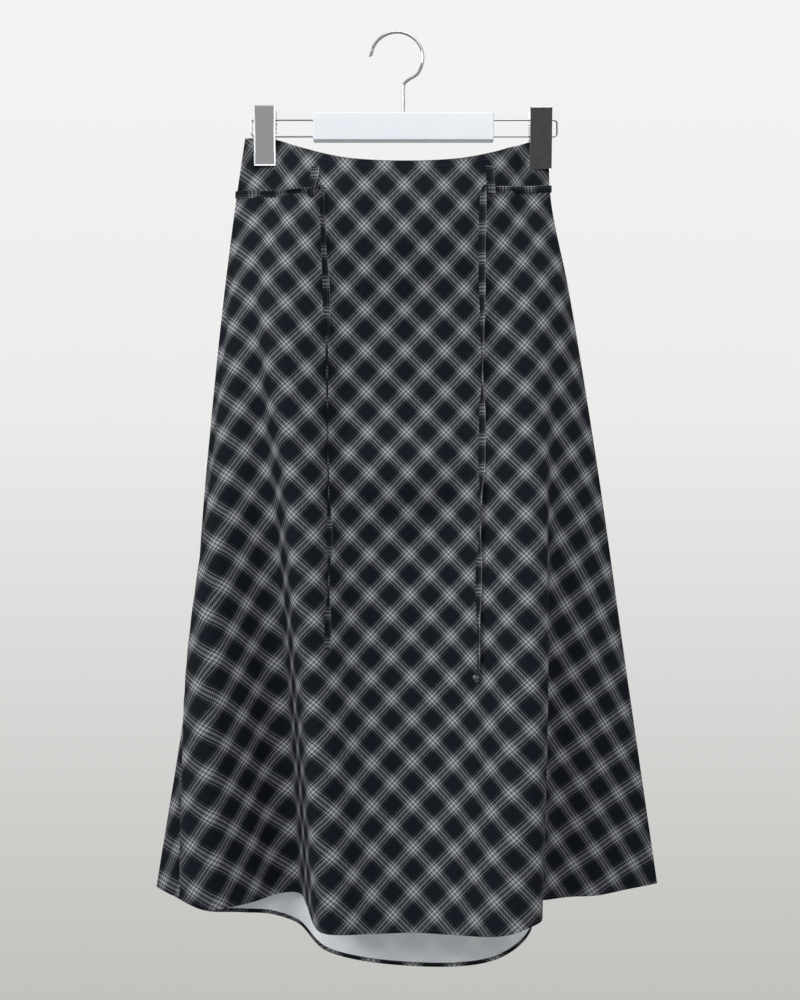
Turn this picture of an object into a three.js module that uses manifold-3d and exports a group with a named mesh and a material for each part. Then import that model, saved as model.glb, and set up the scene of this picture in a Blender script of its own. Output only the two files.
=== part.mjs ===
import * as THREE from 'three';
import Module from 'manifold-3d';
import { mergeVertices } from 'three/addons/utils/BufferGeometryUtils.js';

// A bias-cut checked A-line skirt that hangs by its waist from a two-clip hanger.
// Millimetres, +Z up, and the front faces -Y. The origin is the inside top of the hook,
// where the hanger rests on a rail or a nail.

// Cloth
const clothWall = 1.6;
const seamGap = 0.3;
const waistHeight = -115.6; // the waist edge at the side seams
const frontColumns = 52;
const frontRows = 18;
const backColumns = 42;
const backRows = 16;
const hemTurn = { height: 6.5, thickness: 0.9, fromEdge: 0.4, clearance: 0.6, seamColumns: 3 };

// Tie belt and its loops
const tieWidth = 8;
const tieThickness = 1.2;
const tieClearance = 0.5;
const tieHeights = { frontLeft: -178.5, seamLeft: -177.5, back: -182, seamRight: -171, frontRight: -178 };
const tieAtSeam = { inner: { deep: 1.9, out: 0.9 }, outer: { deep: 2.7, out: 2.1 } }; // off the seam's edge
const tieSteps = 42;
const loopWidth = 8;
const loopThickness = 1.2;
const frontLoops = { left: -86, right: 99.6 };
const backLoops = { left: -92, right: 96 };
const knot = { width: 8.5, depth: 6.5, height: 9, standOff: 4.4 };

// Hanger
const hookWire = 3.4;
const hookRadius = 28.5; // to the middle of the wire
const hookTip = { out: 2.1, up: 1.6 }; // the tip flares past the ring
const stemX = 7.1;
const stemBend = [
  { beside: 4.6, z: -51.4 },
  { beside: 0.8, z: -55.6 },
  { beside: 0, z: -60 },
  { beside: 0, z: -74 },
];
const bar = { x: 7.1, y: -1, length: 198, depth: 12, top: -88.4, bottom: -117.4, corner: 2, endEdge: 1 };
const hookHole = 10;
const rodWire = 2.2;
const rodHeights = [-95, -113.2];
const rodHole = 15;
const rodEnds = { left: -160, right: 176 };
const rodCorner = 4;
const runningGap = 0.3;
const clips = {
  left: { x: -144.6, top: -84, width: 23.5 },
  right: { x: 157.4, top: -87, width: 24 },
};
const clipLength = 63;
const clipPlate = 1.2;
const clipSpread = 13; // half the clip's depth at its top
const jawLip = 0.3; // how far the flanges still stand inside the plate at the jaw
const clipFlanges = [
  { down: 0, flange: 5 },
  { down: 28, flange: 4.5 },
  { down: 46, flange: clipPlate + jawLip },
  { down: clipLength, flange: clipPlate + jawLip },
];
const jawStart = 36; // how far down a clip the cloth can touch it
const carrier = { halfWidth: 8, aboveRod: 3.6 };

// How far down the cut each level of the fold tables lies, as a share of its length.
const levelAt = [0, 0.067, 0.2, 0.44, 0.706, 1];

// Each fold: how far the waist edge sags there, the cut's length from waist to hem,
// and the fold's place on the inside of the cloth at each level, seen from above.
const frontFolds = [
  { fold: 'left seam', drop: 0, cut: 830,
    x: [-167, -175, -189, -209, -228, -265], y: [0, 0, 0, 0, 4, 4] },
  { fold: 'side ridge', drop: 0, cut: 839,
    x: [-150, -158, -170, -190, -213, -206], y: [-0.6, -2, -12, -20, -32, -43] },
  { fold: 'valley', drop: 3, cut: 813,
    x: [-130, -136, -152, -140, -127, -130], y: [-1.2, -5, -17, -14, -9, -7] },
  { fold: 'left ridge', drop: 14, cut: 814,
    x: [-105, -107, -134, -112, -93, -77], y: [-14, -20, -28, -44, -72, -101] },
  { fold: 'centre left', drop: 30, cut: 815,
    x: [-56, -56, -67, -56, -41, -25], y: [-31, -36, -26, -24, -50, -88] },
  { fold: 'centre', drop: 35, cut: 815,
    x: [5, 5, 6, 11, 16, 19], y: [-36, -40, -26, -18, -40, -80] },
  { fold: 'centre right', drop: 31, cut: 816,
    x: [66, 65, 70, 73, 72, 57], y: [-31, -36, -27, -26, -52, -88] },
  { fold: 'right ridge', drop: 20, cut: 814,
    x: [106, 106, 122, 132, 130, 109], y: [-18, -24, -30, -50, -84, -112] },
  { fold: 'fold edge', drop: 13, cut: 806,
    x: [123, 123, 143, 153, 153, 143], y: [-10, -17, -27, -46, -78, -104] },
  { fold: 'fold back', drop: 8, cut: 819,
    x: [137, 139, 160, 166, 158, 151], y: [-1.6, -6, -20, -26, -22, -15] },
  { fold: 'wing', drop: 3, cut: 827,
    x: [153, 156, 175, 193, 206, 219], y: [-0.6, -2.4, -12, -16, -15, -10] },
  { fold: 'right seam', drop: 1, cut: 827,
    x: [167, 168, 188, 220, 251, 286], y: [0, 0, 0, 0, 0, 0] },
];
const backFolds = [
  { fold: 'left seam', drop: 0, cut: 830,
    x: [-167, -175, -189, -209, -228, -265], y: [0, 0, 0, 0, 4, 4] },
  { fold: 'left edge', drop: 1, cut: 845,
    x: [-152, -157, -168, -181, -194, -209], y: [0.6, 2, 5, 6, -8, -32] },
  { fold: 'left side', drop: 5, cut: 840,
    x: [-130, -133, -142, -152, -160, -172], y: [1.6, 4.5, 8, 10, 2, -12] },
  { fold: 'left back', drop: 12, cut: 841,
    x: [-108, -110, -118, -126, -132, -140], y: [4, 7, 11, 13, 12, 9] },
  { fold: 'left step', drop: 20, cut: 845,
    x: [-84, -86, -92, -100, -106, -111], y: [7, 9, 12, 13, 11, 10] },
  { fold: 'left hollow', drop: 31, cut: 853,
    x: [-50, -51, -55, -60, -66, -74], y: [9, 11, 12, 7, -8, -32] },
  { fold: 'centre', drop: 42, cut: 854,
    x: [5, 5, 6, 8, 10, 18], y: [10, 12, 12, 4, -16, -43] },
  { fold: 'right hollow', drop: 31, cut: 859,
    x: [58, 59, 64, 70, 84, 108], y: [9, 11, 12, 6, -12, -38] },
  { fold: 'right step', drop: 21, cut: 848,
    x: [92, 94, 102, 112, 126, 146], y: [7, 9, 12, 12, 4, -8] },
  { fold: 'right back', drop: 12, cut: 829,
    x: [120, 123, 134, 146, 152, 157], y: [3, 6, 10, 15, 18, 25] },
  { fold: 'right side', drop: 3, cut: 821,
    x: [148, 152, 167, 189, 205, 214], y: [0.6, 2.4, 5, 9, 13, 14] },
  { fold: 'right seam', drop: 1, cut: 827,
    x: [167, 168, 188, 220, 251, 286], y: [0, 0, 0, 0, 0, 0] },
];

// The hanging tie ends: where the middle of the band runs over the front,
// and how far it is twisted there from lying flat, in degrees.
const leftTie = [
  { x: -79.2, z: -175, turn: 70 },
  { x: -80, z: -193, turn: 66 },
  { x: -79, z: -248, turn: 62 },
  { x: -76.3, z: -318, turn: 55 },
  { x: -75, z: -386, turn: 52 },
  { x: -74.4, z: -438, turn: 62 },
  { x: -73.6, z: -478, turn: 50 },
  { x: -72.8, z: -530, turn: 12 },
  { x: -71.9, z: -572, turn: 40 },
  { x: -71.9, z: -608, turn: 62 },
  { x: -71.7, z: -640, turn: 20 },
  { x: -71.5, z: -669, turn: 6 },
];
const rightTie = [
  { x: 93.2, z: -175, turn: -62 },
  { x: 93.2, z: -193, turn: -55 },
  { x: 91.8, z: -232, turn: -48 },
  { x: 92.1, z: -298, turn: -60 },
  { x: 91.9, z: -386, turn: -52 },
  { x: 91.7, z: -432, turn: -10 },
  { x: 90.6, z: -475, turn: -35 },
  { x: 89.4, z: -517, turn: -56 },
  { x: 87.8, z: -571, turn: -64 },
  { x: 86.1, z: -633, turn: -62 },
  { x: 86.2, z: -680, turn: -64 },
  { x: 85.6, z: -695.4, turn: -64 },
];

const finish = (color, roughness, metalness) =>
  new THREE.MeshStandardMaterial({ color, roughness, metalness });
const materials = {
  cloth: finish('#2b2e35', 0.85, 0),
  chrome: finish('#c8cbcf', 0.12, 1),
  plastic: finish('#f1f1ef', 0.35, 0),
};

const skirt = new THREE.Group();

function add(name, geometry, material) {
  const mesh = new THREE.Mesh(geometry, material);
  mesh.name = name;
  skirt.add(mesh);
  return mesh;
}

// A smooth value between uneven knots.
function along(knots, values, t) {
  const last = knots.length - 1;
  let i = 0;
  while (i < last - 1 && t > knots[i + 1]) i += 1;
  const rise = (j) => (values[j + 1] - values[j]) / (knots[j + 1] - knots[j]);
  const slope = (j) => {
    if (j === 0) return rise(0);
    if (j === last) return rise(last - 1);
    const before = knots[j] - knots[j - 1];
    const after = knots[j + 1] - knots[j];
    return (rise(j - 1) * after + rise(j) * before) / (before + after);
  };
  const span = knots[i + 1] - knots[i];
  const s = (t - knots[i]) / span;
  const start = (1 + 2 * s) * (1 - s) ** 2 * values[i] + s * (1 - s) ** 2 * span * slope(i);
  return start + s * s * (3 - 2 * s) * values[i + 1] - s * s * (1 - s) * span * slope(i + 1);
}

// The cloth's line at one level, from above, cut into even steps of cloth.
function section(folds, level, columns) {
  const xs = folds.map((fold) => along(levelAt, fold.x, level));
  const ys = folds.map((fold) => along(levelAt, fold.y, level));
  const knots = [0];
  for (let k = 1; k < folds.length; k += 1) {
    knots.push(knots[k - 1] + Math.sqrt(Math.hypot(xs[k] - xs[k - 1], ys[k] - ys[k - 1])));
  }
  const fine = [];
  const fineSteps = folds.length * 16;
  for (let i = 0; i <= fineSteps; i += 1) {
    const t = (knots[knots.length - 1] * i) / fineSteps;
    const x = along(knots, xs, t);
    const y = along(knots, ys, t);
    const run = i === 0 ? 0 : fine[i - 1].run + Math.hypot(x - fine[i - 1].x, y - fine[i - 1].y);
    fine.push({ x, y, t, run });
  }
  const even = [];
  let k = 0;
  for (let j = 0; j <= columns; j += 1) {
    const run = (fine[fineSteps].run * j) / columns;
    while (k < fineSteps - 1 && fine[k + 1].run < run) k += 1;
    const [a, b] = [fine[k], fine[k + 1]];
    const f = (run - a.run) / (b.run - a.run);
    const t = a.t + (b.t - a.t) * f;
    const drop = along(knots, folds.map((fold) => fold.drop), t);
    const cut = along(knots, folds.map((fold) => fold.cut), t);
    even.push({ x: a.x + (b.x - a.x) * f, y: a.y + (b.y - a.y) * f, drop, cut });
  }
  return even;
}

// The inside of a panel: each column keeps its cut length as it hangs from the waist edge.
function hang(folds, columns, rows, side) {
  const levels = Array.from({ length: rows + 1 }, (_, i) => section(folds, i / rows, columns));
  const grid = levels.map(() => []);
  for (let j = 0; j <= columns; j += 1) {
    const step = levels[rows][j].cut / rows;
    let z = waistHeight - levels[0][j].drop;
    for (let i = 0; i <= rows; i += 1) {
      const { x, y } = levels[i][j];
      if (i > 0) z -= Math.sqrt(step ** 2 - (x - levels[i - 1][j].x) ** 2 - (y - levels[i - 1][j].y) ** 2);
      grid[i].push(new THREE.Vector3(x, y + (side * seamGap) / 2, z));
    }
  }
  return grid;
}

// The directions that face out of a grid; side is -1 on the front and 1 on the back.
function normals(grid, side) {
  const rows = grid.length - 1;
  const columns = grid[0].length - 1;
  return grid.map((row, i) =>
    row.map((_, j) => {
      const across = row[Math.min(j + 1, columns)].clone().sub(row[Math.max(j - 1, 0)]);
      const down = grid[Math.min(i + 1, rows)][j].clone().sub(grid[Math.max(i - 1, 0)][j]);
      return across.cross(down).normalize().multiplyScalar(side);
    })
  );
}

const movedOut = (grid, directions, distance) =>
  grid.map((row, i) => row.map((point, j) => point.clone().addScaledVector(directions[i][j], distance)));

// A closed wall between two grids of points.
function wall(inner, outer) {
  const rows = inner.length - 1;
  const columns = inner[0].length - 1;
  const layer = (rows + 1) * (columns + 1);
  const points = [...inner.flat(), ...outer.flat()];
  const faces = [];
  const quad = (a, b, c, d) => faces.push(a, b, c, a, c, d);
  const at = (i, j) => i * (columns + 1) + j;
  for (let i = 0; i < rows; i += 1) {
    for (let j = 0; j < columns; j += 1) {
      quad(at(i, j), at(i, j + 1), at(i + 1, j + 1), at(i + 1, j));
      quad(layer + at(i, j), layer + at(i + 1, j), layer + at(i + 1, j + 1), layer + at(i, j + 1));
    }
  }
  const rim = [];
  for (let j = 0; j < columns; j += 1) rim.push(at(0, j));
  for (let i = 0; i < rows; i += 1) rim.push(at(i, columns));
  for (let j = columns; j > 0; j -= 1) rim.push(at(rows, j));
  for (let i = rows; i > 0; i -= 1) rim.push(at(i, 0));
  rim.forEach((a, k) => {
    const b = rim[(k + 1) % rim.length];
    quad(b, a, layer + a, layer + b);
  });
  return facingOut(points, faces);
}

function facingOut(points, faces) {
  let volume = 0;
  for (let f = 0; f < faces.length; f += 3) {
    const [a, b, c] = faces.slice(f, f + 3).map((k) => points[k]);
    volume += a.dot(b.clone().cross(c));
  }
  if (volume < 0) faces.reverse();
  const geometry = new THREE.BufferGeometry();
  const flat = points.flatMap((point) => [point.x, point.y, point.z]);
  geometry.setAttribute('position', new THREE.Float32BufferAttribute(flat, 3));
  geometry.setIndex(faces);
  geometry.computeVertexNormals();
  return geometry;
}

// The panels
function panel(folds, columns, rows, side) {
  const inside = hang(folds, columns, rows, side);
  const out = normals(inside, side);
  return { side, columns, rows, inside, out, outside: movedOut(inside, out, clothWall) };
}

const front = panel(frontFolds, frontColumns, frontRows, -1);
const back = panel(backFolds, backColumns, backRows, 1);
add('front_panel', wall(front.inside, front.outside), materials.cloth);
add('back_panel', wall(back.inside, back.outside), materials.cloth);

// The hem is turned up inside: a narrow strip that follows the last row of the wall
// and stops some columns short of the seams, where the two panels come close.
function turnedHem({ inside, out, rows, columns }) {
  const strip = [hemTurn.height, hemTurn.fromEdge].map((height) => {
    const line = [];
    for (let j = hemTurn.seamColumns; j <= columns - hemTurn.seamColumns; j += 1) {
      const edge = inside[rows][j];
      const up = inside[rows - 1][j].clone().sub(edge).setLength(height);
      line.push(edge.clone().add(up));
    }
    return line;
  });
  const facing = strip.map(() => out[rows].slice(hemTurn.seamColumns, columns - hemTurn.seamColumns + 1));
  const near = movedOut(strip, facing, -hemTurn.clearance);
  const far = movedOut(strip, facing, -hemTurn.clearance - hemTurn.thickness);
  return wall(near, far);
}

add('front_hem_turn', turnedHem(front), materials.cloth);
add('back_hem_turn', turnedHem(back), materials.cloth);

// A point on the outside of a panel at a column, which may lie between two, and a height.
function onColumn({ outside, out, columns, rows }, column, z, distance) {
  const j = Math.min(Math.floor(column), columns - 1);
  const pick = (k) => {
    let i = 0;
    while (i < rows - 1 && outside[i + 1][k].z > z) i += 1;
    const f = (outside[i][k].z - z) / (outside[i][k].z - outside[i + 1][k].z);
    const point = outside[i][k].clone().lerp(outside[i + 1][k], f);
    return point.addScaledVector(out[i][k].clone().lerp(out[i + 1][k], f).normalize(), distance);
  };
  return pick(j).lerp(pick(j + 1), column - j);
}

// The column of a panel that passes through x at a height.
function columnAt(cloth, x, z) {
  let j = 0;
  while (j < cloth.columns - 1 && onColumn(cloth, j + 1, z, 0).x < x) j += 1;
  const [a, b] = [onColumn(cloth, j, z, 0).x, onColumn(cloth, j + 1, z, 0).x];
  return j + (x - a) / (b - a);
}

// The tie belt: one band round the waist, under the loops.
function bandStation(cloth, column, z) {
  const edges = [z + tieWidth / 2, z - tieWidth / 2];
  return {
    inner: edges.map((edge) => onColumn(cloth, column, edge, tieClearance)),
    outer: edges.map((edge) => onColumn(cloth, column, edge, tieClearance + tieThickness)),
  };
}

function bandStations(cloth, from, to, heightAt) {
  const columns = [from];
  const step = to > from ? 1 : -1;
  const first = step > 0 ? Math.floor(from) + 1 : Math.ceil(from) - 1;
  for (let j = first; (to - j) * step > 0.2; j += step) columns.push(j);
  columns.push(to);
  return columns.map((column) => bandStation(cloth, column, heightAt(column)));
}

// Round a side seam: the band stands just off the seam's edge.
function bandCorner(column, z, direction) {
  const corner = ({ deep, out }, side) =>
    [z + tieWidth / 2, z - tieWidth / 2].map((edge) => {
      const seam = onColumn(front, column, edge, 0);
      return new THREE.Vector3(seam.x + direction * out, side * deep, edge);
    });
  return [-1, 1].map((side) => ({
    inner: corner(tieAtSeam.inner, side),
    outer: corner(tieAtSeam.outer, side),
  }));
}

function band(stations) {
  return wall(stations.map((s) => s.inner), stations.map((s) => s.outer));
}

const mix = (a, b, share) => a + (b - a) * share;
const loopColumns = {
  frontLeft: columnAt(front, frontLoops.left, tieHeights.frontLeft),
  frontRight: columnAt(front, frontLoops.right, tieHeights.frontRight),
  backLeft: columnAt(back, backLoops.left, tieHeights.back),
  backRight: columnAt(back, backLoops.right, tieHeights.back),
};
const columnWidth = (cloth, column, z) =>
  onColumn(cloth, Math.ceil(column), z, 0).distanceTo(onColumn(cloth, Math.ceil(column) - 1, z, 0));
const tuckedIn = 0.4; // how far the side bands stop inside the front loops
const loopReach = loopWidth / 2 - tuckedIn;
const underLoop = loopReach / columnWidth(front, loopColumns.frontLeft, tieHeights.frontLeft);
const breakAt = (seamGap * 0.6) / columnWidth(back, loopColumns.backLeft, tieHeights.back);

const frontLeftHeight = (column) =>
  mix(tieHeights.seamLeft, tieHeights.frontLeft, column / loopColumns.frontLeft);
const frontRightHeight = (column) =>
  mix(tieHeights.seamRight, tieHeights.frontRight,
    (frontColumns - column) / (frontColumns - loopColumns.frontRight));
const backHeight = (column) => {
  const share = (2 * column) / backColumns;
  return share < 1
    ? mix(tieHeights.seamLeft, tieHeights.back, Math.sqrt(share))
    : mix(tieHeights.seamRight, tieHeights.back, Math.sqrt(2 - share));
};

add('tie_side_left', band([
  ...bandStations(front, loopColumns.frontLeft + underLoop, 0, frontLeftHeight),
  ...bandCorner(0, tieHeights.seamLeft, -1),
  ...bandStations(back, 0, loopColumns.backLeft - breakAt, backHeight),
]), materials.cloth);
add('tie_back', band(bandStations(
  back, loopColumns.backLeft + breakAt, loopColumns.backRight - breakAt, backHeight
)), materials.cloth);
add('tie_side_right', band([
  ...bandStations(front, loopColumns.frontRight - underLoop, frontColumns, frontRightHeight),
  ...bandCorner(frontColumns, tieHeights.seamRight, 1),
  ...bandStations(back, backColumns, loopColumns.backRight + breakAt, backHeight),
]), materials.cloth);

// A belt loop: sewn down at its top and bottom and standing off over the band between.
// Each step gives the height above the band's middle and the distance off the cloth.
const loopSteps = [
  { up: 25, off: 0.4 },
  { up: 20, off: 0.4 },
  { up: 14, off: 1.4 },
  { up: 7, off: 2.3 },
  { up: 0, off: 2.4 },
  { up: -5, off: 2.3 },
  { up: -7.2, off: 0.4 },
];

function beltLoop(cloth, column, z) {
  const half = loopWidth / 2 / columnWidth(cloth, column, z);
  const grid = (extra) =>
    loopSteps.map(({ up, off }) => [
      onColumn(cloth, column - half, z + up, off + extra),
      onColumn(cloth, column + half, z + up, off + extra),
    ]);
  return wall(grid(0), grid(loopThickness));
}

const loops = [
  { name: 'front_left', cloth: front, column: loopColumns.frontLeft, z: tieHeights.frontLeft },
  { name: 'front_right', cloth: front, column: loopColumns.frontRight, z: tieHeights.frontRight },
  { name: 'back_left', cloth: back, column: loopColumns.backLeft, z: backHeight(loopColumns.backLeft) },
  { name: 'back_right', cloth: back, column: loopColumns.backRight, z: backHeight(loopColumns.backRight) },
];
for (const { name, cloth, column, z } of loops) {
  add(`belt_loop_${name}`, beltLoop(cloth, column, z), materials.cloth);
}

// The hanging ends of the tie lie on the front and twist as they fall.
function hangingEnd(route) {
  const knots = route.map((stop) => -stop.z);
  const [top, bottom] = [knots[0], knots[knots.length - 1]];
  const rows = { inner: [], outer: [] };
  for (let i = 0; i <= tieSteps; i += 1) {
    const depth = mix(top, bottom, i / tieSteps);
    const x = along(knots, route.map((stop) => stop.x), depth);
    const turn = THREE.MathUtils.degToRad(along(knots, route.map((stop) => stop.turn), depth));
    const column = columnAt(front, x, -depth);
    const cloth = onColumn(front, column, -depth, 0);
    const beside = onColumn(front, column + 0.5, -depth, 0).sub(cloth).setZ(0).normalize();
    const off = new THREE.Vector3(beside.y, -beside.x, 0);
    const deepest = (Math.abs(Math.sin(turn)) * tieWidth + Math.cos(turn) * tieThickness) / 2;
    const middle = cloth.addScaledVector(off, tieClearance + deepest);
    const wide = beside.clone().multiplyScalar(Math.cos(turn)).addScaledVector(off, Math.sin(turn));
    const thick = off.clone().multiplyScalar(Math.cos(turn)).addScaledVector(beside, -Math.sin(turn));
    const edge = (across, deep) =>
      middle.clone()
        .addScaledVector(wide, (across * tieWidth) / 2)
        .addScaledVector(thick, (deep * tieThickness) / 2);
    rows.inner.push([edge(-1, -1), edge(1, -1)]);
    rows.outer.push([edge(-1, 1), edge(1, 1)]);
  }
  return wall(rows.inner, rows.outer);
}

add('tie_end_left', hangingEnd(leftTie), materials.cloth);
add('tie_end_right', hangingEnd(rightTie), materials.cloth);

// The right end is knotted just above its tip.
const lastStop = rightTie[rightTie.length - 1];
const knotZ = lastStop.z - seamGap - knot.height / 2;
const knotMesh = add('tie_knot_right', new THREE.SphereGeometry(0.5, 12, 8), materials.cloth);
knotMesh.scale.set(knot.width, knot.depth, knot.height);
knotMesh.position.copy(onColumn(front, columnAt(front, lastStop.x, knotZ), knotZ, knot.standOff)).setZ(knotZ);

// The hanger
function wire(curve, diameter, steps, curveSegments) {
  const round = new THREE.Shape();
  round.absarc(0, 0, diameter / 2, 0, 2 * Math.PI);
  return new THREE.ExtrudeGeometry(round, { extrudePath: curve, steps, curveSegments });
}

// The hook: an open ring, an S-bend and a straight stem down into the bar.
function hookCurve() {
  const inPlane = (x, z) => new THREE.Vector3(x, 0, z);
  const centre = -hookRadius + hookWire / 2;
  const points = [inPlane(-hookRadius - hookTip.out, centre + hookTip.up)];
  for (let angle = 170; angle >= -38; angle -= 13) {
    const turn = THREE.MathUtils.degToRad(angle);
    points.push(inPlane(hookRadius * Math.cos(turn), centre + hookRadius * Math.sin(turn)));
  }
  points.push(...stemBend.map(({ beside, z }) => inPlane(stemX + beside, z)));
  points.push(inPlane(stemX, bar.top - hookHole + runningGap));
  return new THREE.CatmullRomCurve3(points);
}

add('hook', wire(hookCurve(), hookWire, 60, 5), materials.chrome);

// The bar: a white moulding with a hole for the hook and two in each end for the rods.
const wasm = await Module();
wasm.setup();

function toSolid(geometry) {
  const plain = geometry.clone();
  plain.deleteAttribute('normal');
  plain.deleteAttribute('uv');
  const merged = mergeVertices(plain, 1e-4);
  const mesh = new wasm.Mesh({
    numProp: 3,
    vertProperties: new Float32Array(merged.attributes.position.array),
    triVerts: new Uint32Array(merged.index.array),
  });
  return new wasm.Manifold(mesh);
}

function fromSolid(solid) {
  const mesh = solid.getMesh();
  const geometry = new THREE.BufferGeometry();
  geometry.setAttribute('position', new THREE.BufferAttribute(new Float32Array(mesh.vertProperties), 3));
  geometry.setIndex(new THREE.BufferAttribute(new Uint32Array(mesh.triVerts), 1));
  geometry.computeVertexNormals();
  return geometry;
}

function roundedBar() {
  const height = bar.top - bar.bottom;
  const [w, h, r] = [bar.depth / 2, height / 2, bar.corner];
  const outline = new THREE.Shape();
  outline.absarc(w - r, h - r, r, 0, Math.PI / 2);
  outline.absarc(-w + r, h - r, r, Math.PI / 2, Math.PI);
  outline.absarc(-w + r, -h + r, r, Math.PI, 1.5 * Math.PI);
  outline.absarc(w - r, -h + r, r, 1.5 * Math.PI, 2 * Math.PI);
  const { endEdge } = bar;
  const geometry = new THREE.ExtrudeGeometry(outline, {
    depth: bar.length - 2 * endEdge,
    bevelThickness: endEdge,
    bevelSize: endEdge,
    bevelOffset: -endEdge,
    bevelSegments: 2,
    curveSegments: 4,
  });
  geometry.translate(0, 0, -bar.length / 2 + endEdge);
  geometry.rotateX(Math.PI / 2);
  geometry.rotateZ(Math.PI / 2);
  geometry.translate(bar.x, bar.y, (bar.top + bar.bottom) / 2);
  return geometry;
}

function hole(diameter, length, place, alongX) {
  const cutter = new THREE.CylinderGeometry(diameter / 2, diameter / 2, length, 12);
  if (alongX) cutter.rotateZ(Math.PI / 2);
  else cutter.rotateX(Math.PI / 2);
  cutter.translate(place.x, place.y, place.z);
  return toSolid(cutter);
}

const overshoot = 5; // how far a cutter stands out of the bar
let barSolid = toSolid(roundedBar());
barSolid = barSolid.subtract(hole(hookWire + 2 * runningGap, hookHole + overshoot, {
  x: stemX, y: 0, z: bar.top - hookHole / 2 + overshoot / 2,
}, false));
for (const end of [-1, 1]) {
  for (const z of rodHeights) {
    const x = bar.x + end * (bar.length / 2 - rodHole / 2 + overshoot / 2);
    barSolid = barSolid.subtract(hole(rodWire + 2 * runningGap, rodHole + overshoot, { x, y: 0, z }, true));
  }
}
add('bar', fromSolid(barSolid), materials.plastic);

// The rods: a wire bent into a long U on each side, both legs in the bar.
function rodCurve(direction, endX) {
  const start = bar.x + direction * (bar.length / 2 - rodHole + runningGap);
  const [upper, lower] = rodHeights;
  const at = (x, z) => new THREE.Vector3(x, 0, z);
  const inner = endX - direction * rodCorner;
  const curve = new THREE.CurvePath();
  curve.add(new THREE.LineCurve3(at(start, upper), at(inner, upper)));
  curve.add(new THREE.QuadraticBezierCurve3(at(inner, upper), at(endX, upper), at(endX, upper - rodCorner)));
  curve.add(new THREE.LineCurve3(at(endX, upper - rodCorner), at(endX, lower + rodCorner)));
  curve.add(new THREE.QuadraticBezierCurve3(at(endX, lower + rodCorner), at(endX, lower), at(inner, lower)));
  curve.add(new THREE.LineCurve3(at(inner, lower), at(start, lower)));
  return curve;
}

add('rod_left', wire(rodCurve(-1, rodEnds.left), rodWire, 56, 4), materials.chrome);
add('rod_right', wire(rodCurve(1, rodEnds.right), rodWire, 56, 4), materials.chrome);

// The clips: two chrome channels that lean together on the waist edge, on a carrier
// that slides along the rods.
function jawDepth(cloth, clip) {
  let jaw = 0;
  for (let j = 0; j <= cloth.columns; j += 0.25) {
    for (let down = jawStart; down <= clipLength; down += 3) {
      const point = onColumn(cloth, j, clip.top - down, 0);
      if (Math.abs(point.x - clip.x) > clip.width / 2 + 1) continue;
      const share = down / clipLength;
      const clear = point.y * cloth.side + runningGap + clipPlate + jawLip;
      jaw = Math.max(jaw, (clear - clipSpread * (1 - share)) / share);
    }
  }
  return jaw;
}

function clipHalf(clip, cloth) {
  const jaw = jawDepth(cloth, clip);
  const half = clip.width / 2;
  const level = (inset, depthIn) =>
    clipFlanges.map(({ down, flange }) => {
      const y = mix(clipSpread, jaw, down / clipLength) * cloth.side;
      const place = (x, deep) => new THREE.Vector3(clip.x + x, y - deep * cloth.side, clip.top - down);
      const side = half - inset;
      return [place(-side, flange), place(-side, depthIn), place(side, depthIn), place(side, flange)];
    });
  return { geometry: wall(level(clipPlate, clipPlate), level(0, 0)), jaw };
}

function clipCarrier(clip, jaws) {
  const top = rodHeights[0] + carrier.aboveRod;
  const bottom = rodHeights[1] + rodWire / 2 + runningGap;
  const inside = (z, jaw) => mix(clipSpread, jaw, (clip.top - z) / clipLength) - clipPlate - runningGap;
  const outline = new THREE.Shape([
    new THREE.Vector2(-inside(top, jaws.front), top),
    new THREE.Vector2(-inside(bottom, jaws.front), bottom),
    new THREE.Vector2(inside(bottom, jaws.back), bottom),
    new THREE.Vector2(inside(top, jaws.back), top),
  ]);
  const rodPath = new THREE.Path();
  rodPath.absarc(0, rodHeights[0], rodWire / 2 + runningGap, 0, 2 * Math.PI, true);
  outline.holes.push(rodPath);
  const depth = 2 * carrier.halfWidth;
  const geometry = new THREE.ExtrudeGeometry(outline, { depth, bevelEnabled: false, curveSegments: 10 });
  geometry.translate(0, 0, -carrier.halfWidth);
  geometry.rotateX(Math.PI / 2);
  geometry.rotateZ(Math.PI / 2);
  geometry.translate(clip.x, 0, 0);
  return geometry;
}

for (const [side, clip] of Object.entries(clips)) {
  const frontHalf = clipHalf(clip, front);
  const backHalf = clipHalf(clip, back);
  add(`clip_${side}_front`, frontHalf.geometry, materials.chrome);
  add(`clip_${side}_back`, backHalf.geometry, materials.chrome);
  const jaws = { front: frontHalf.jaw, back: backHalf.jaw };
  add(`clip_${side}_carrier`, clipCarrier(clip, jaws), materials.chrome);
}

export default skirt;
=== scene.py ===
import itertools
import math

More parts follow.
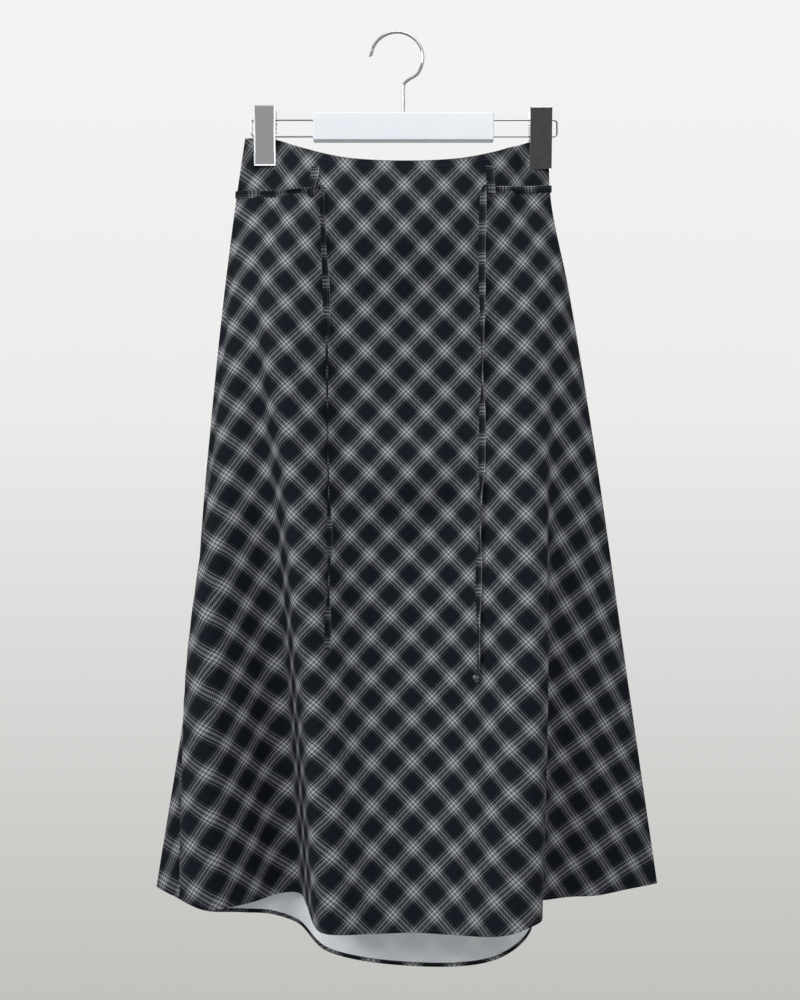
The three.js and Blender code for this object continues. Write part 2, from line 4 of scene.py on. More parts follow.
import bmesh
import bpy
import numpy as np
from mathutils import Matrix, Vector


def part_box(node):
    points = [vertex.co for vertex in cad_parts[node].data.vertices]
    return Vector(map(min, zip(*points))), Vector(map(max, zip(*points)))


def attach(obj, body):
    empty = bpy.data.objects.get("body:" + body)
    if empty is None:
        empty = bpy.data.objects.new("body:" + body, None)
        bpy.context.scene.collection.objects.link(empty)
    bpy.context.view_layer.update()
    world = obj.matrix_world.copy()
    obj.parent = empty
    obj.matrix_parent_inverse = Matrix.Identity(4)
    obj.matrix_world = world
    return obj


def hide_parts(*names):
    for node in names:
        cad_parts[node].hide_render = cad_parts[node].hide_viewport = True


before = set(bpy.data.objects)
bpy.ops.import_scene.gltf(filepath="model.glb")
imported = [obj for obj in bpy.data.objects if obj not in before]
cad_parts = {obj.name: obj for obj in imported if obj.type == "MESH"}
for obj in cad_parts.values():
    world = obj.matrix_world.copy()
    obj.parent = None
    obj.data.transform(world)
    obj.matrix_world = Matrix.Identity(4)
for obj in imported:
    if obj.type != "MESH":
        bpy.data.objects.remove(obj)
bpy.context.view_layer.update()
mm = 0.001


def addObject(name, data):
    made = bpy.data.objects.new(name, data)
    bpy.context.scene.collection.objects.link(made)
    return made


def unit(vectors):
    return vectors / np.linalg.norm(vectors, axis=-1, keepdims=True)


# Camera: level with the middle of the skirt, square to its front, its place in mm
cameraSettings = {"x": 3.3, "distance": 1300, "height": -513, "lens": 42.545}


def makeCamera(settings):
    data = bpy.data.cameras.new("camera")
    data.lens = settings["lens"]
    camera = addObject("camera", data)
    camera.location = (settings["x"] * mm, -settings["distance"] * mm, settings["height"] * mm)
    camera.rotation_euler = (math.pi / 2, 0, 0)
    bpy.context.scene.camera = camera


makeCamera(cameraSettings)


def linear(code):
    channels = [int(code[i : i + 2], 16) / 255 for i in (1, 3, 5)]
    return (*[c / 12.92 if c <= 0.04045 else ((c + 0.055) / 1.055) ** 2.4 for c in channels], 1)


def node(tree, kind, links=None, inputs=None, **settings):
    made = tree.nodes.new(kind)
    for key, value in settings.items():
        setattr(made, key, value)
    for key, value in (inputs or {}).items():
        made.inputs[key].default_value = value
    for key, value in (links or {}).items():
        tree.links.new(value, made.inputs[key])
    return made


def newMaterial(name, surface="ShaderNodeBsdfPrincipled", **inputs):
    material = bpy.data.materials.new(name)
    material.use_nodes = True
    tree = material.node_tree
    tree.nodes.clear()
    shader = node(tree, surface, inputs=inputs)
    node(tree, "ShaderNodeOutputMaterial", {"Surface": shader.outputs[0]})
    return material, tree, shader.inputs


# The check: a band of five light lines every 32 mm, both ways of the cloth
checkSettings = {
    "period": 32.3,  # mm from band to band
    "profile": [  # mm from the middle of a band, share of light yarn
        (0.0, 0.34), (0.6, 0.36), (1.3, 0.87), (3.0, 0.87), (3.5, 0.2), (4.7, 0.18),
        (5.05, 0.74), (5.95, 0.74), (6.3, 0.15), (7.4, 0.08), (7.75, 0.3), (8.4, 0.3),
        (8.8, 0.03), (9.6, 0.0),
    ],
    "contrast": 1.85,  # a light yarn over a dark one shows under half as light as two crossing
    "light": "#b4b6bb",
    "navy": "#10141c",
    "charcoal": "#111519",
    "twill": 1.5,  # mm, coarser than the real 0.5 mm rib so that it shows
    "ribScale": 0.44274,  # the wave texture's scale for diagonal ribs 1 mm apart
    "above": (0.28, 0.72),  # how far the upper yarns hide the lower ones between ribs and on them
}


def bandShare(tree, coordinate, settings):
    half = settings["period"] / 2
    distance = node(tree, "ShaderNodeMath", {0: coordinate}, {1: half}, operation="PINGPONG")
    share = node(tree, "ShaderNodeMath", {0: distance.outputs[0]}, {1: half}, operation="DIVIDE")
    ramp = node(tree, "ShaderNodeValToRGB", {"Fac": share.outputs[0]})
    stops = ramp.color_ramp.elements
    for place, _ in settings["profile"][2:]:
        stops.new(place / half)
    for stop, (place, value) in zip(stops, settings["profile"]):
        stop.position = place / half
        stop.color = (value, value, value, 1)
    return ramp.outputs["Color"]


def clothAxes(tree):
    place = node(tree, "ShaderNodeUVMap", uv_map="cloth")
    bias = {"Rotation": (0, 0, math.pi / 4), "Scale": (1 / mm, 1 / mm, 1)}
    turned = node(tree, "ShaderNodeMapping", {"Vector": place.outputs[0]}, bias)
    axes = node(tree, "ShaderNodeSeparateXYZ", {0: turned.outputs[0]})
    return turned.outputs[0], axes.outputs["X"], axes.outputs["Y"]


def lightShare(tree, settings):
    place, warp, weft = clothAxes(tree)
    scale = settings["ribScale"] / settings["twill"]
    ribs = node(
        tree,
        "ShaderNodeTexWave",
        {"Vector": place},
        {"Scale": scale, "Distortion": 0.6, "Detail": 1.0, "Detail Scale": 2.0},
        wave_type="BANDS",
        bands_direction="DIAGONAL",
    )
    low, high = settings["above"]
    hidden = {"To Min": low, "To Max": high}
    side = node(tree, "ShaderNodeMapRange", {"Value": ribs.outputs["Fac"]}, hidden)
    bands = {2: bandShare(tree, warp, settings), 3: bandShare(tree, weft, settings)}
    share = node(tree, "ShaderNodeMix", {0: side.outputs[0], **bands}, data_type="FLOAT")
    power = {1: settings["contrast"]}
    deep = node(tree, "ShaderNodeMath", {0: share.outputs[0]}, power, operation="POWER")
    return place, deep.outputs[0], ribs.outputs["Fac"]


# Polyester twill, yarn-dyed and brushed by wear: matt, dark, with crisp pale lines
twillFinish = {
    "Roughness": 0.82,
    "Specular IOR Level": 0.06,
    "Sheen Weight": 0.01,
    "Sheen Roughness": 0.5,
}


def checkedTwill(settings):
    material, tree, shader = newMaterial("checkedTwill", **twillFinish)
    place, share, ribs = lightShare(tree, settings)
    ground = {"Color1": linear(settings["navy"]), "Color2": linear(settings["charcoal"])}
    ground["Scale"] = 1 / settings["period"]
    squares = node(tree, "ShaderNodeTexChecker", {"Vector": place}, ground)
    dyes = {0: share, 6: squares.outputs["Color"]}
    light = {7: linear(settings["light"])}
    colour = node(tree, "ShaderNodeMix", dyes, light, data_type="RGBA")
    fuzz = node(tree, "ShaderNodeTexNoise", {"Vector": place}, {"Scale": 0.9, "Detail": 3.0})
    height = node(tree, "ShaderNodeMath", {0: ribs, 1: fuzz.outputs["Fac"]}, operation="ADD")
    raised = {"Strength": 0.35, "Distance": 0.00012}
    bump = node(tree, "ShaderNodeBump", {"Height": height.outputs[0]}, raised)
    tree.links.new(colour.outputs[2], shader["Base Color"])
    tree.links.new(bump.outputs[0], shader["Normal"])
    return material


# The back of the same cloth: the dye hardly comes through, so it is pale with a faint check
def paleReverse(settings):
    finish = {"Roughness": 0.9, "Specular IOR Level": 0.2}
    material, tree, shader = newMaterial("paleReverse", **finish)
    _, share, ribs = lightShare(tree, settings)
    tones = {6: linear("#dfe3e7"), 7: linear("#fcfdfd")}
    colour = node(tree, "ShaderNodeMix", {0: share}, tones, data_type="RGBA")
    bump = node(tree, "ShaderNodeBump", {"Height": ribs}, {"Strength": 0.3, "Distance": 0.0001})
    tree.links.new(colour.outputs[2], shader["Base Color"])
    tree.links.new(bump.outputs[0], shader["Normal"])
    return material


twill = checkedTwill(checkSettings)
reverse = paleReverse(checkSettings)
print("cloth materials made")

# How far down the cut each level of the fold tables lies, as a share of its length
levelAt = [0, 0.067, 0.2, 0.44, 0.706, 1]

# Each fold: how far the waist edge sags there, the cut's length, and its place at each level
frontFolds = [
    ("left seam", 0, 830, (-167, -175, -189, -209, -228, -265), (0, 0, 0, 0, 4, 4)),
    ("tuck", 0, 842, (-161, -169, -181, -202, -219, -214), (-0.2, -0.6, -3, -6, -12, -23)),
    ("left edge", 0, 827, (-157, -164, -177, -199, -226, -229), (-0.4, -1.2, -8, -14, -23, -40)),
    ("side ridge", 0, 828, (-148, -156, -166, -184, -200, -194), (-0.7, -2.4, -13, -21, -35, -46)),
    ("valley", 3, 810, (-130, -136, -152, -140, -125, -111), (-1.2, -5, -17, -14, -8, -6)),
    ("left ridge", 14, 814, (-105, -107, -134, -112, -93, -72), (-14, -20, -28, -44, -72, -101)),
    ("centre left", 30, 815, (-56, -56, -67, -56, -41, -25), (-31, -36, -26, -24, -50, -88)),
    ("centre", 35, 815, (5, 5, 6, 11, 16, 19), (-36, -40, -26, -18, -40, -80)),
    ("centre right", 31, 816, (66, 65, 70, 73, 72, 57), (-31, -36, -27, -26, -52, -88)),
    ("right ridge", 20, 814, (106, 106, 122, 132, 130, 109), (-18, -24, -30, -50, -84, -112)),
    ("fold edge", 13, 806, (123, 123, 143, 153, 153, 143), (-10, -17, -27, -46, -78, -104)),
    ("fold back", 8, 819, (137, 139, 160, 166, 158, 151), (-1.6, -6, -20, -26, -22, -15)),
    ("wing", 3, 827, (153, 156, 175, 193, 206, 219), (-0.6, -2.4, -12, -16, -15, -10)),
    ("right seam", 1, 827, (167, 168, 188, 220, 251, 286), (0, 0, 0, 0, 0, 0)),
]
backFolds = [
    ("left seam", 0, 830, (-167, -175, -189, -209, -228, -265), (0, 0, 0, 0, 4, 4)),
    ("left edge", 1, 845, (-152, -157, -168, -181, -194, -212), (0.6, 2, 5, 6, -2, -12)),
    ("left side", 5, 840, (-130, -133, -142, -152, -160, -172), (1.6, 4.5, 8, 10, 2, -12)),
    ("left back", 12, 841, (-108, -110, -118, -126, -132, -140), (4, 7, 11, 13, 12, 9)),
    ("left step", 20, 845, (-84, -86, -92, -100, -106, -111), (7, 9, 12, 13, 11, 10)),
    ("left hollow", 31, 853, (-50, -51, -55, -60, -66, -74), (9, 11, 12, 7, -8, -32)),
    ("centre", 42, 854, (5, 5, 6, 8, 10, 18), (10, 12, 12, 4, -16, -43)),
    ("right hollow", 31, 859, (58, 59, 64, 70, 84, 108), (9, 11, 12, 6, -12, -38)),
    ("right step", 21, 848, (92, 94, 102, 112, 126, 146), (7, 9, 12, 12, 4, -8)),
    ("right back", 12, 829, (120, 123, 134, 146, 152, 157), (3, 6, 10, 15, 18, 25)),
    ("right side", 3, 821, (148, 152, 167, 189, 205, 214), (0.6, 2.4, 5, 9, 13, 14)),
    ("right seam", 1, 827, (167, 168, 188, 220, 251, 286), (0, 0, 0, 0, 0, 0)),
]

# Cloth sizes in mm. The cut is a slice of a ring, and the bias gives as it hangs: down and across
# are flat cloth for each mm hung, sag is how the rows bend and lean how the grain drifts sideways.
clothSettings = {
    "waist": -115.6,
    "wall": 1.6,  # to the outside face
    "lining": 0.85,  # to the inside face
    "seamTaper": 12,  # where the wall gets thinner beside a seam
    "seamEase": 0.7,
    "seamPinch": 0.25,
    "seamWall": 0.35,
    "seamCalm": 40,  # creases die out this near to a seam
    "down": 1.038,
    "across": 1.08,
    "narrowing": 0.00006,
    "sag": 0.00087,
    "lean": 0.006,
}
frontSettings = {"columns": 236, "rows": 150, "side": -1, "centre": 7}
backSettings = {"columns": 200, "rows": 150, "side": 1, "centre": 6}
checkCrossing = (8.7, -351.6)  # where two bands cross on the front, in mm


def along(knots, values, t):
    knots, values = np.asarray(knots, float), np.asarray(values, float)
    gaps = np.diff(knots)
    rise = np.diff(values) / gaps
    middle = (rise[:-1] * gaps[1:] + rise[1:] * gaps[:-1]) / (gaps[:-1] + gaps[1:])
    slope = np.concatenate((rise[:1], middle, rise[-1:]))
    i = np.clip(np.searchsorted(knots, t) - 1, 0, len(gaps) - 1)
    s = (t - knots[i]) / gaps[i]
    start = (1 + 2 * s) * (1 - s) ** 2 * values[i] + s * (1 - s) ** 2 * gaps[i] * slope[i]
    return start + s * s * (3 - 2 * s) * values[i + 1] - s * s * (1 - s) * gaps[i] * slope[i + 1]


def lengthAlong(points):
    return np.concatenate(([0], np.cumsum(np.linalg.norm(np.diff(points, axis=0), axis=1))))


# The cloth's line at one level from above, cut into even steps of cloth
def section(folds, level, columns, centre):
    xs = np.array([along(levelAt, fold[3], level) for fold in folds])
    ys = np.array([along(levelAt, fold[4], level) for fold in folds])
    knots = np.concatenate(([0], np.cumsum(np.sqrt(np.hypot(np.diff(xs), np.diff(ys))))))
    t = np.linspace(0, knots[-1], len(folds) * 60)
    x, y = along(knots, xs, t), along(knots, ys, t)
    run = np.concatenate(([0], np.cumsum(np.hypot(np.diff(x), np.diff(y)))))
    even = np.interp(np.linspace(0, run[-1], columns + 1), run, t)
    drop = along(knots, [fold[1] for fold in folds], even)
    cut = along(knots, [fold[2] for fold in folds], even)
    beside = np.linspace(0, run[-1], columns + 1) - np.interp(knots[centre], t, run)
    return along(knots, xs, even), along(knots, ys, even), drop, cut, beside


# The inside of a panel: each column keeps its cut length as it hangs from the waist edge
def hang(folds, columns, rows, centre):
    levels = [section(folds, i / rows, columns, centre) for i in range(rows + 1)]
    x = np.array([level[0] for level in levels])
    y = np.array([level[1] for level in levels])
    cut = levels[-1][3]
    fall = np.sqrt((cut / rows) ** 2 - np.diff(x, axis=0) ** 2 - np.diff(y, axis=0) ** 2)
    top = clothSettings["waist"] - levels[0][2]
    z = np.vstack((top, top - np.cumsum(fall, axis=0)))
    return np.dstack((x, y, z)), cut, np.array([level[4] for level in levels])


def gridNormals(grid, side):
    across = np.gradient(grid, axis=1)
    down = np.gradient(grid, axis=0)
    return unit(np.cross(across, down) * side)


# Creases: start and end as shares across and down the panel, how wide and how deep in mm.
# A minus depth is a trough.
frontCreases = [
    ((0.055, 0.02), (0.1, 0.16), 7, 1.2),
    ((0.08, 0.03), (0.16, 0.12), 6, -1.3),
    ((0.12, 0.04), (0.24, 0.15), 9, 1.1),
    ((0.03, 0.05), (0.045, 0.2), 6, -1.0),
    ((0.945, 0.02), (0.9, 0.17), 7, 1.3),
    ((0.925, 0.03), (0.84, 0.13), 7, -1.2),
    ((0.9, 0.04), (0.76, 0.16), 10, 1.0),
    ((0.975, 0.06), (0.97, 0.24), 6, -1.0),
    ((0.3, 0.03), (0.36, 0.2), 14, -1.2),
    ((0.68, 0.04), (0.64, 0.22), 14, -1.1),
    ((0.42, 0.1), (0.47, 0.34), 18, 1.2),
    ((0.56, 0.12), (0.55, 0.4), 20, -1.3),
    ((0.2, 0.2), (0.26, 0.46), 13, 1.5),
    ((0.14, 0.24), (0.16, 0.55), 10, -1.3),
    ((0.34, 0.36), (0.36, 0.66), 20, 1.5),
    ((0.49, 0.42), (0.46, 0.8), 24, -1.8),
    ((0.62, 0.38), (0.66, 0.7), 18, 1.4),
    ((0.8, 0.26), (0.8, 0.52), 12, -1.4),
    ((0.88, 0.3), (0.92, 0.62), 13, 1.3),
    ((0.08, 0.4), (0.06, 0.72), 12, 1.2),
    ((0.24, 0.62), (0.22, 0.92), 16, -1.6),
    ((0.4, 0.68), (0.43, 1.02), 22, 1.8),
    ((0.56, 0.66), (0.58, 1.02), 22, -1.7),
    ((0.7, 0.6), (0.68, 0.96), 16, 1.4),
    ((0.93, 0.66), (0.95, 1.02), 16, -1.5),
    ((0.06, 0.76), (0.03, 1.02), 14, -1.4),
    ((0.375, 0.37), (0.63, 0.415), 44, 18),
    ((0.42, 0.16), (0.6, 0.22), 36, -3),
    ((0.055, 0.44), (0.222, 1.4), 15, 8),
    ((0.165, 0.44), (0.34, 1.4), 17, -9),
    ((0.84, 0.66), (0.848, 1.4), 12, 3.5),
    ((0.885, 0.66), (0.893, 1.4), 13, -4),
]
backCreases = [
    ((0.06, 0.02), (0.11, 0.15), 7, 1.2),
    ((0.09, 0.03), (0.2, 0.13), 8, -1.2),
    ((0.94, 0.02), (0.89, 0.16), 7, 1.2),
    ((0.91, 0.03), (0.8, 0.14), 8, -1.1),
    ((0.28, 0.05), (0.35, 0.24), 14, -1.2),
    ((0.7, 0.04), (0.63, 0.22), 13, 1.1),
    ((0.46, 0.1), (0.5, 0.36), 20, 1.4),
    ((0.18, 0.22), (0.22, 0.5), 12, 1.4),
    ((0.36, 0.34), (0.33, 0.64), 18, -1.6),
    ((0.6, 0.3), (0.62, 0.62), 18, 1.5),
    ((0.82, 0.26), (0.78, 0.54), 12, -1.4),
    ((0.08, 0.46), (0.06, 0.8), 14, 1.4),
    ((0.26, 0.6), (0.28, 0.94), 16, 1.5),
    ((0.5, 0.58), (0.47, 1.02), 24, -1.9),
    ((0.7, 0.62), (0.73, 0.98), 18, -1.5),
    ((0.9, 0.6), (0.93, 1.02), 15, 1.4),
]


creaseShape = {"bow": 0.4, "tail": 2, "swell": 0.7}


def creaseDepth(creases, width, length, u, v):
    depth = np.zeros_like(u)
    for (u0, v0), (u1, v1), wide, deep in creases:
        du, dv = (u1 - u0) * width, (v1 - v0) * length
        run = math.hypot(du, dv)
        pu, pv = (u - u0) * width, (v - v0) * length
        arch = np.sin(np.clip((pu * du + pv * dv) / run**2, 0, 1) * math.pi)
        aside = (pu * dv - pv * du) / run + arch * wide * creaseShape["bow"]
        past = np.clip(np.abs((pu * du + pv * dv) / run - run / 2) - run / 2, 0, None)
        tail = np.exp(-((past / (wide * creaseShape["tail"])) ** 2))
        fade = arch ** creaseShape["swell"]
        depth += deep * np.exp(-((aside / wide) ** 2)) * tail * fade
    return depth


# Where each point lies in the flat cut: beside is how far it is from the panel's middle
def flatPlaces(cut, beside, settings):
    down = np.outer(np.linspace(0, 1, settings["rows"] + 1), cut)
    give = clothSettings["across"] - clothSettings["narrowing"] * down
    x = beside * give + clothSettings["lean"] * down
    return np.dstack((x, clothSettings["sag"] * beside**2 - clothSettings["down"] * down))


# A panel: its outside and inside faces, and where each point lies in the flat cut
def layPanel(folds, creases, settings):
    columns, rows, side = settings["columns"], settings["rows"], settings["side"]
    middle, cut, beside = hang(folds, columns, rows, settings["centre"])
    u, v = np.meshgrid(np.linspace(0, 1, columns + 1), np.linspace(0, 1, rows + 1))
    widths = np.linalg.norm(np.diff(middle, axis=1), axis=2).sum(axis=1)
    out = gridNormals(middle, side)
    edge = np.minimum(u, 1 - u) * widths[:, None]
    ease = np.clip(edge / clothSettings["seamTaper"], 0, 1) ** clothSettings["seamEase"]
    calm = np.clip(edge / clothSettings["seamCalm"], 0, 1)
    crease = creaseDepth(creases, widths.mean(), cut.mean(), u, v) * calm
    pinch = clothSettings["seamPinch"]
    wall = (clothSettings["wall"] - pinch) * ease + pinch + clothSettings["seamWall"]
    outside = middle + out * (wall + crease)[..., None]
    inside = middle + out * (clothSettings["lining"] * ease + crease)[..., None]
    return {
        "outside": outside,
        "inside": inside,
        "out": gridNormals(outside, side),
        "flat": flatPlaces(cut, beside, settings),
        "beside": beside,
        "columns": columns,
    }


# The cloth's line at one height
def lineAt(cloth, z):
    outside = cloth["outside"]
    columns = np.arange(outside.shape[1])
    i = np.clip((outside[:, :, 2] > z).sum(axis=0) - 1, 0, outside.shape[0] - 2)
    above, below = outside[i, columns, 2], outside[i + 1, columns, 2]
    f = ((above - z) / (above - below))[:, None]
    grids = (outside, cloth["out"], cloth["flat"])
    return [grid[i, columns] * (1 - f) + grid[i + 1, columns] * f for grid in grids]


def columnAt(cloth, x, z):
    line = lineAt(cloth, z)[0]
    j = int(np.argmax(line[1:, 0] >= x))
    return j + (x - line[j, 0]) / (line[j + 1, 0] - line[j, 0])


def onCloth(cloth, column, z, distance):
    place, out, _ = lineAt(cloth, z)
    j = min(int(column), cloth["columns"] - 1)
    f = column - j
    direction = unit(out[j] * (1 - f) + out[j + 1] * f)
    return place[j] * (1 - f) + place[j + 1] * f + direction * distance, direction


def flatAt(cloth, x, z):
    column = columnAt(cloth, x, z)
    flat = lineAt(cloth, z)[2]
    j = int(column)
    return flat[j] * (1 - column + j) + flat[j + 1] * (column - j)


front = layPanel(frontFolds, frontCreases, frontSettings)
back = layPanel(backFolds, backCreases, backSettings)
front["flat"] -= flatAt(front, *checkCrossing)
back["flat"] -= flatAt(back, *checkCrossing)


# A mesh from points in mm, with its place in the cloth in metres
def makePiece(name, points, faces, materials, flats=None, kinds=None):
    mesh = bpy.data.meshes.new(name)
    mesh.from_pydata((np.asarray(points) * mm).tolist(), [], [list(face) for face in faces])
    for material in materials:
        mesh.materials.append(material)
    if kinds is not None:
        mesh.polygons.foreach_set("material_index", np.asarray(kinds, np.int32))
    if flats is not None:
        corners = np.empty(len(mesh.loops), np.int32)
        mesh.loops.foreach_get("vertex_index", corners)
        layer = mesh.uv_layers.new(name="cloth")
        layer.data.foreach_set("uv", (np.asarray(flats)[corners] * mm).astype(np.float32).ravel())
    mesh.shade_smooth()
    mesh.validate()
    mesh.update()
    return addObject(name, mesh)


def faceOut(made):
    work = bmesh.new()
    work.from_mesh(made.data)
    if work.calc_volume(signed=True) < 0:
        bmesh.ops.reverse_faces(work, faces=work.faces)
    work.to_mesh(made.data)
    work.free()
    return made


def closedPiece(name, points, faces, materials, sharp, flats=None, kinds=None):
    made = faceOut(makePiece(name, points, faces, materials, flats, kinds))
    made.data.set_sharp_from_angle(angle=math.radians(sharp))
    return made


# A closed shell between two grids of points
def shell(name, outside, inside, flat, materials, sharp=40):
    rows, columns = outside.shape[0] - 1, outside.shape[1] - 1
    layer = (rows + 1) * (columns + 1)
    at = np.arange(layer).reshape(rows + 1, columns + 1)
    quads = np.stack((at[:-1, :-1], at[1:, :-1], at[1:, 1:], at[:-1, 1:]), axis=2).reshape(-1, 4)
    rim = np.concatenate((at[0, :-1], at[:-1, -1], at[-1, :0:-1], at[:0:-1, 0]))
    after = np.roll(rim, -1)
    sides = np.stack((rim, after, after + layer, rim + layer), axis=1)
    faces = np.vstack((quads, quads[:, ::-1] + layer, sides))
    kinds = np.repeat((0, len(materials) - 1, 0), (len(quads), len(quads), len(sides)))
    points = np.vstack((outside.reshape(-1, 3), inside.reshape(-1, 3)))
    flats = np.vstack((flat.reshape(-1, 2), flat.reshape(-1, 2)))
    return closedPiece(name, points, faces, materials, sharp, flats, kinds)


frontPiece = shell("frontPanel", front["outside"], front["inside"], front["flat"], [twill, reverse])
backPiece = shell("backPanel", back["outside"], back["inside"], back["flat"], [twill, reverse])
print("panels laid")


# A hem or waist edge: the cloth turned in, wrapped round the fold and lying on the inside
turnSettings = {
    "hem": {
        "row": -1,
        "next": -2,
        "profile": [  # height over the edge and depth behind the cloth's inside, in mm
            (4.0, 0.05), (3.8, 0.5), (2.2, 0.55), (0.7, 0.6),
            (-0.2, 0.35), (-0.42, -0.35), (-0.2, -0.95), (0.5, -0.97),
        ],
    },
    "waist": {
        "row": 0,
        "next": 1,
        "profile": [
            (7.5, 0.05), (7.3, 0.45), (3.8, 0.5), (0.7, 0.55),
            (-0.15, 0.3), (-0.35, -0.35), (-0.15, -0.95), (0.5, -0.97),
        ],
    },
    "clear": 15,  # mm left plain at each seam
    "thickness": 0.3,
}


def turnedEdge(name, cloth, settings):
    step = cloth["beside"][-1, 1] - cloth["beside"][-1, 0]
    skip = round(turnSettings["clear"] / step)
    columns = slice(skip, cloth["columns"] + 1 - skip)
    edge, beside = (cloth["inside"][settings[row], columns] for row in ("row", "next"))
    up = unit(beside - edge)
    inward = -cloth["out"][settings["row"], columns]
    flatEdge, flatBeside = (cloth["flat"][settings[row], columns] for row in ("row", "next"))
    flatUp = unit(flatBeside - flatEdge)
    strip = np.array([edge + up * rise + inward * deep for rise, deep in settings["profile"]])
    flat = np.array([flatEdge - flatUp * rise for rise, _ in settings["profile"]])
    out = gridNormals(strip, 1)
    if (out[2] * inward).sum() < 0:
        out = -out
    return shell(name, strip, strip - out * turnSettings["thickness"], flat, [twill], sharp=60)


hemFront = turnedEdge("hemFront", front, turnSettings["hem"])
hemBack = turnedEdge("hemBack", back, turnSettings["hem"])
waistFront = turnedEdge("waistFront", front, turnSettings["waist"])
waistBack = turnedEdge("waistBack", back, turnSettings["waist"])

# Strips of cloth: flat tubes turned right side out, laid along a line of stations
stripSettings = {
    "width": 8,
    "thickness": 1.2,
    "corners": 14,
    "fullness": 0.45,
    "crown": 0.8,
    "grain": 9.2,  # from the middle of a light band to the middle of the strip
    "clear": 0.35,  # off the cloth
    "seamReach": 1.7,
}


def smoothLine(points, steps):
    points = np.asarray(points, float)
    gaps = np.linalg.norm(np.diff(points[:, :3], axis=0), axis=1)
    knots = np.concatenate(([0], np.cumsum(np.sqrt(gaps))))
    t = np.linspace(0, knots[-1], steps * 12)
    fine = np.column_stack([along(knots, values, t) for values in points.T])
    run = lengthAlong(fine[:, :3])
    even = np.linspace(0, run[-1], steps + 1)
    return np.column_stack([np.interp(even, run, values) for values in fine.T])


def ringFaces(rings, corners):
    faces = []
    for i in range(rings - 1):
        for k in range(corners):
            a, b = i * corners + k, i * corners + (k + 1) % corners
            faces.append((a, b, b + corners, a + corners))
    last = (rings - 1) * corners
    return faces + [tuple(range(corners))[::-1], tuple(range(last, last + corners))]


# Straight grain: where a point lies in the cut from how far it is along the strip and across it
def straightGrain(run, reach):
    return (run + reach) / math.sqrt(2), (run - reach) / math.sqrt(2)


def clothStrip(name, centres, normals, turns, widths, thickness, start):
    centres = np.asarray(centres, float)
    tangents = unit(np.gradient(centres, axis=0))
    across = unit(np.cross(tangents, np.asarray(normals, float)))
    off = np.cross(across, tangents)
    turn = np.radians(np.asarray(turns, float))[:, None]
    wide = across * np.cos(turn) + off * np.sin(turn)
    thick = off * np.cos(turn) - across * np.sin(turn)
    corners = stripSettings["corners"]
    around = np.arange(corners) * 2 * math.pi / corners
    sides = np.sign(np.cos(around)) * np.abs(np.cos(around)) ** stripSettings["fullness"]
    deeps = np.sign(np.sin(around)) * np.abs(np.sin(around)) ** stripSettings["crown"]
    runs = lengthAlong(centres) + start
    points, flats = [], []
    for i, centre in enumerate(centres):
        for side, deep in zip(sides, deeps):
            beside = centre + wide[i] * side * widths[i] / 2
            points.append(beside + thick[i] * deep * thickness / 2)
            reach = side * stripSettings["width"] / 2 + stripSettings["grain"]
            flats.append(straightGrain(runs[i], reach))
    return closedPiece(name, points, ringFaces(len(centres), corners), [twill], 50, flats)


# The hanging ends: x and height of the strip's middle in mm, its twist in degrees and its width
leftTie = [
    (-84.5, -177.5, 10, 4.5),
    (-81.5, -175.5, 45, 5),
    (-79.4, -180, 72, 6),
    (-80, -193, 66, 7.2),
    (-79, -222, 60, 8),
    (-78, -247, 52, 8),
    (-76.8, -268, 36, 8),
    (-75.8, -290, 14, 8),
    (-75.6, -316, 24, 8),
    (-75.4, -334, 60, 8),
    (-75, -386, 72, 8),
    (-74.4, -432, 68, 8),
    (-73.6, -474, 73, 8),
    (-72.8, -504, 60, 8),
    (-72.2, -530, 32, 8),
    (-71.4, -552, 6, 8),
    (-71.4, -568, 20, 8),
    (-71.6, -588, 66, 8),
    (-71.9, -604, 62, 8),
    (-72.2, -622, 34, 8),
    (-72.4, -640, 8, 8),
    (-72.4, -669, 4, 8),
]
rightTie = [
    (98.2, -176.5, -10, 4.5),
    (95.4, -175.2, -45, 5),
    (93.1, -180, -50, 6.5),
    (92.4, -193, -34, 7.5),
    (91.2, -232, -28, 8),
    (91.4, -284, -30, 8),
    (91.6, -312, -50, 8),
    (91.6, -342, -60, 8),
    (91.5, -366, -73, 8),
    (91.5, -394, -62, 8),
    (91.6, -412, -28, 8),
    (91.5, -440, -6, 8),
    (91, -478, -8, 8),
    (90.2, -500, -46, 8),
    (89.4, -524, -60, 8),
    (88.4, -560, -56, 8),
    (87.4, -580, -16, 8),
    (86.6, -614, -14, 8),
    (86.2, -638, -42, 8),
    (86.2, -680, -48, 8),
    (85.4, -695.2, -46, 6.5),
]


def hangingTie(name, route, steps, start):
    line = smoothLine([(x, 0, z, turn, width) for x, z, turn, width in route], steps)
    centres, normals = [], []
    thickness = stripSettings["thickness"]
    for x, _, z, turn, width in line:
        twist = math.radians(turn)
        off = stripSettings["clear"] + abs(math.sin(twist)) * width / 2
        place, out = onCloth(front, columnAt(front, x, z), z, off + math.cos(twist) * thickness / 2)
        centres.append((x, place[1], z))
        normals.append((out[0], out[1], 0))
    made = clothStrip(name, centres, normals, line[:, 3], line[:, 4], thickness, start)
    return made, np.array(centres)


tieLeft, leftLine = hangingTie("tieEndLeft", leftTie, 190, -12)
tieRight, rightLine = hangingTie("tieEndRight", rightTie, 200, 13)


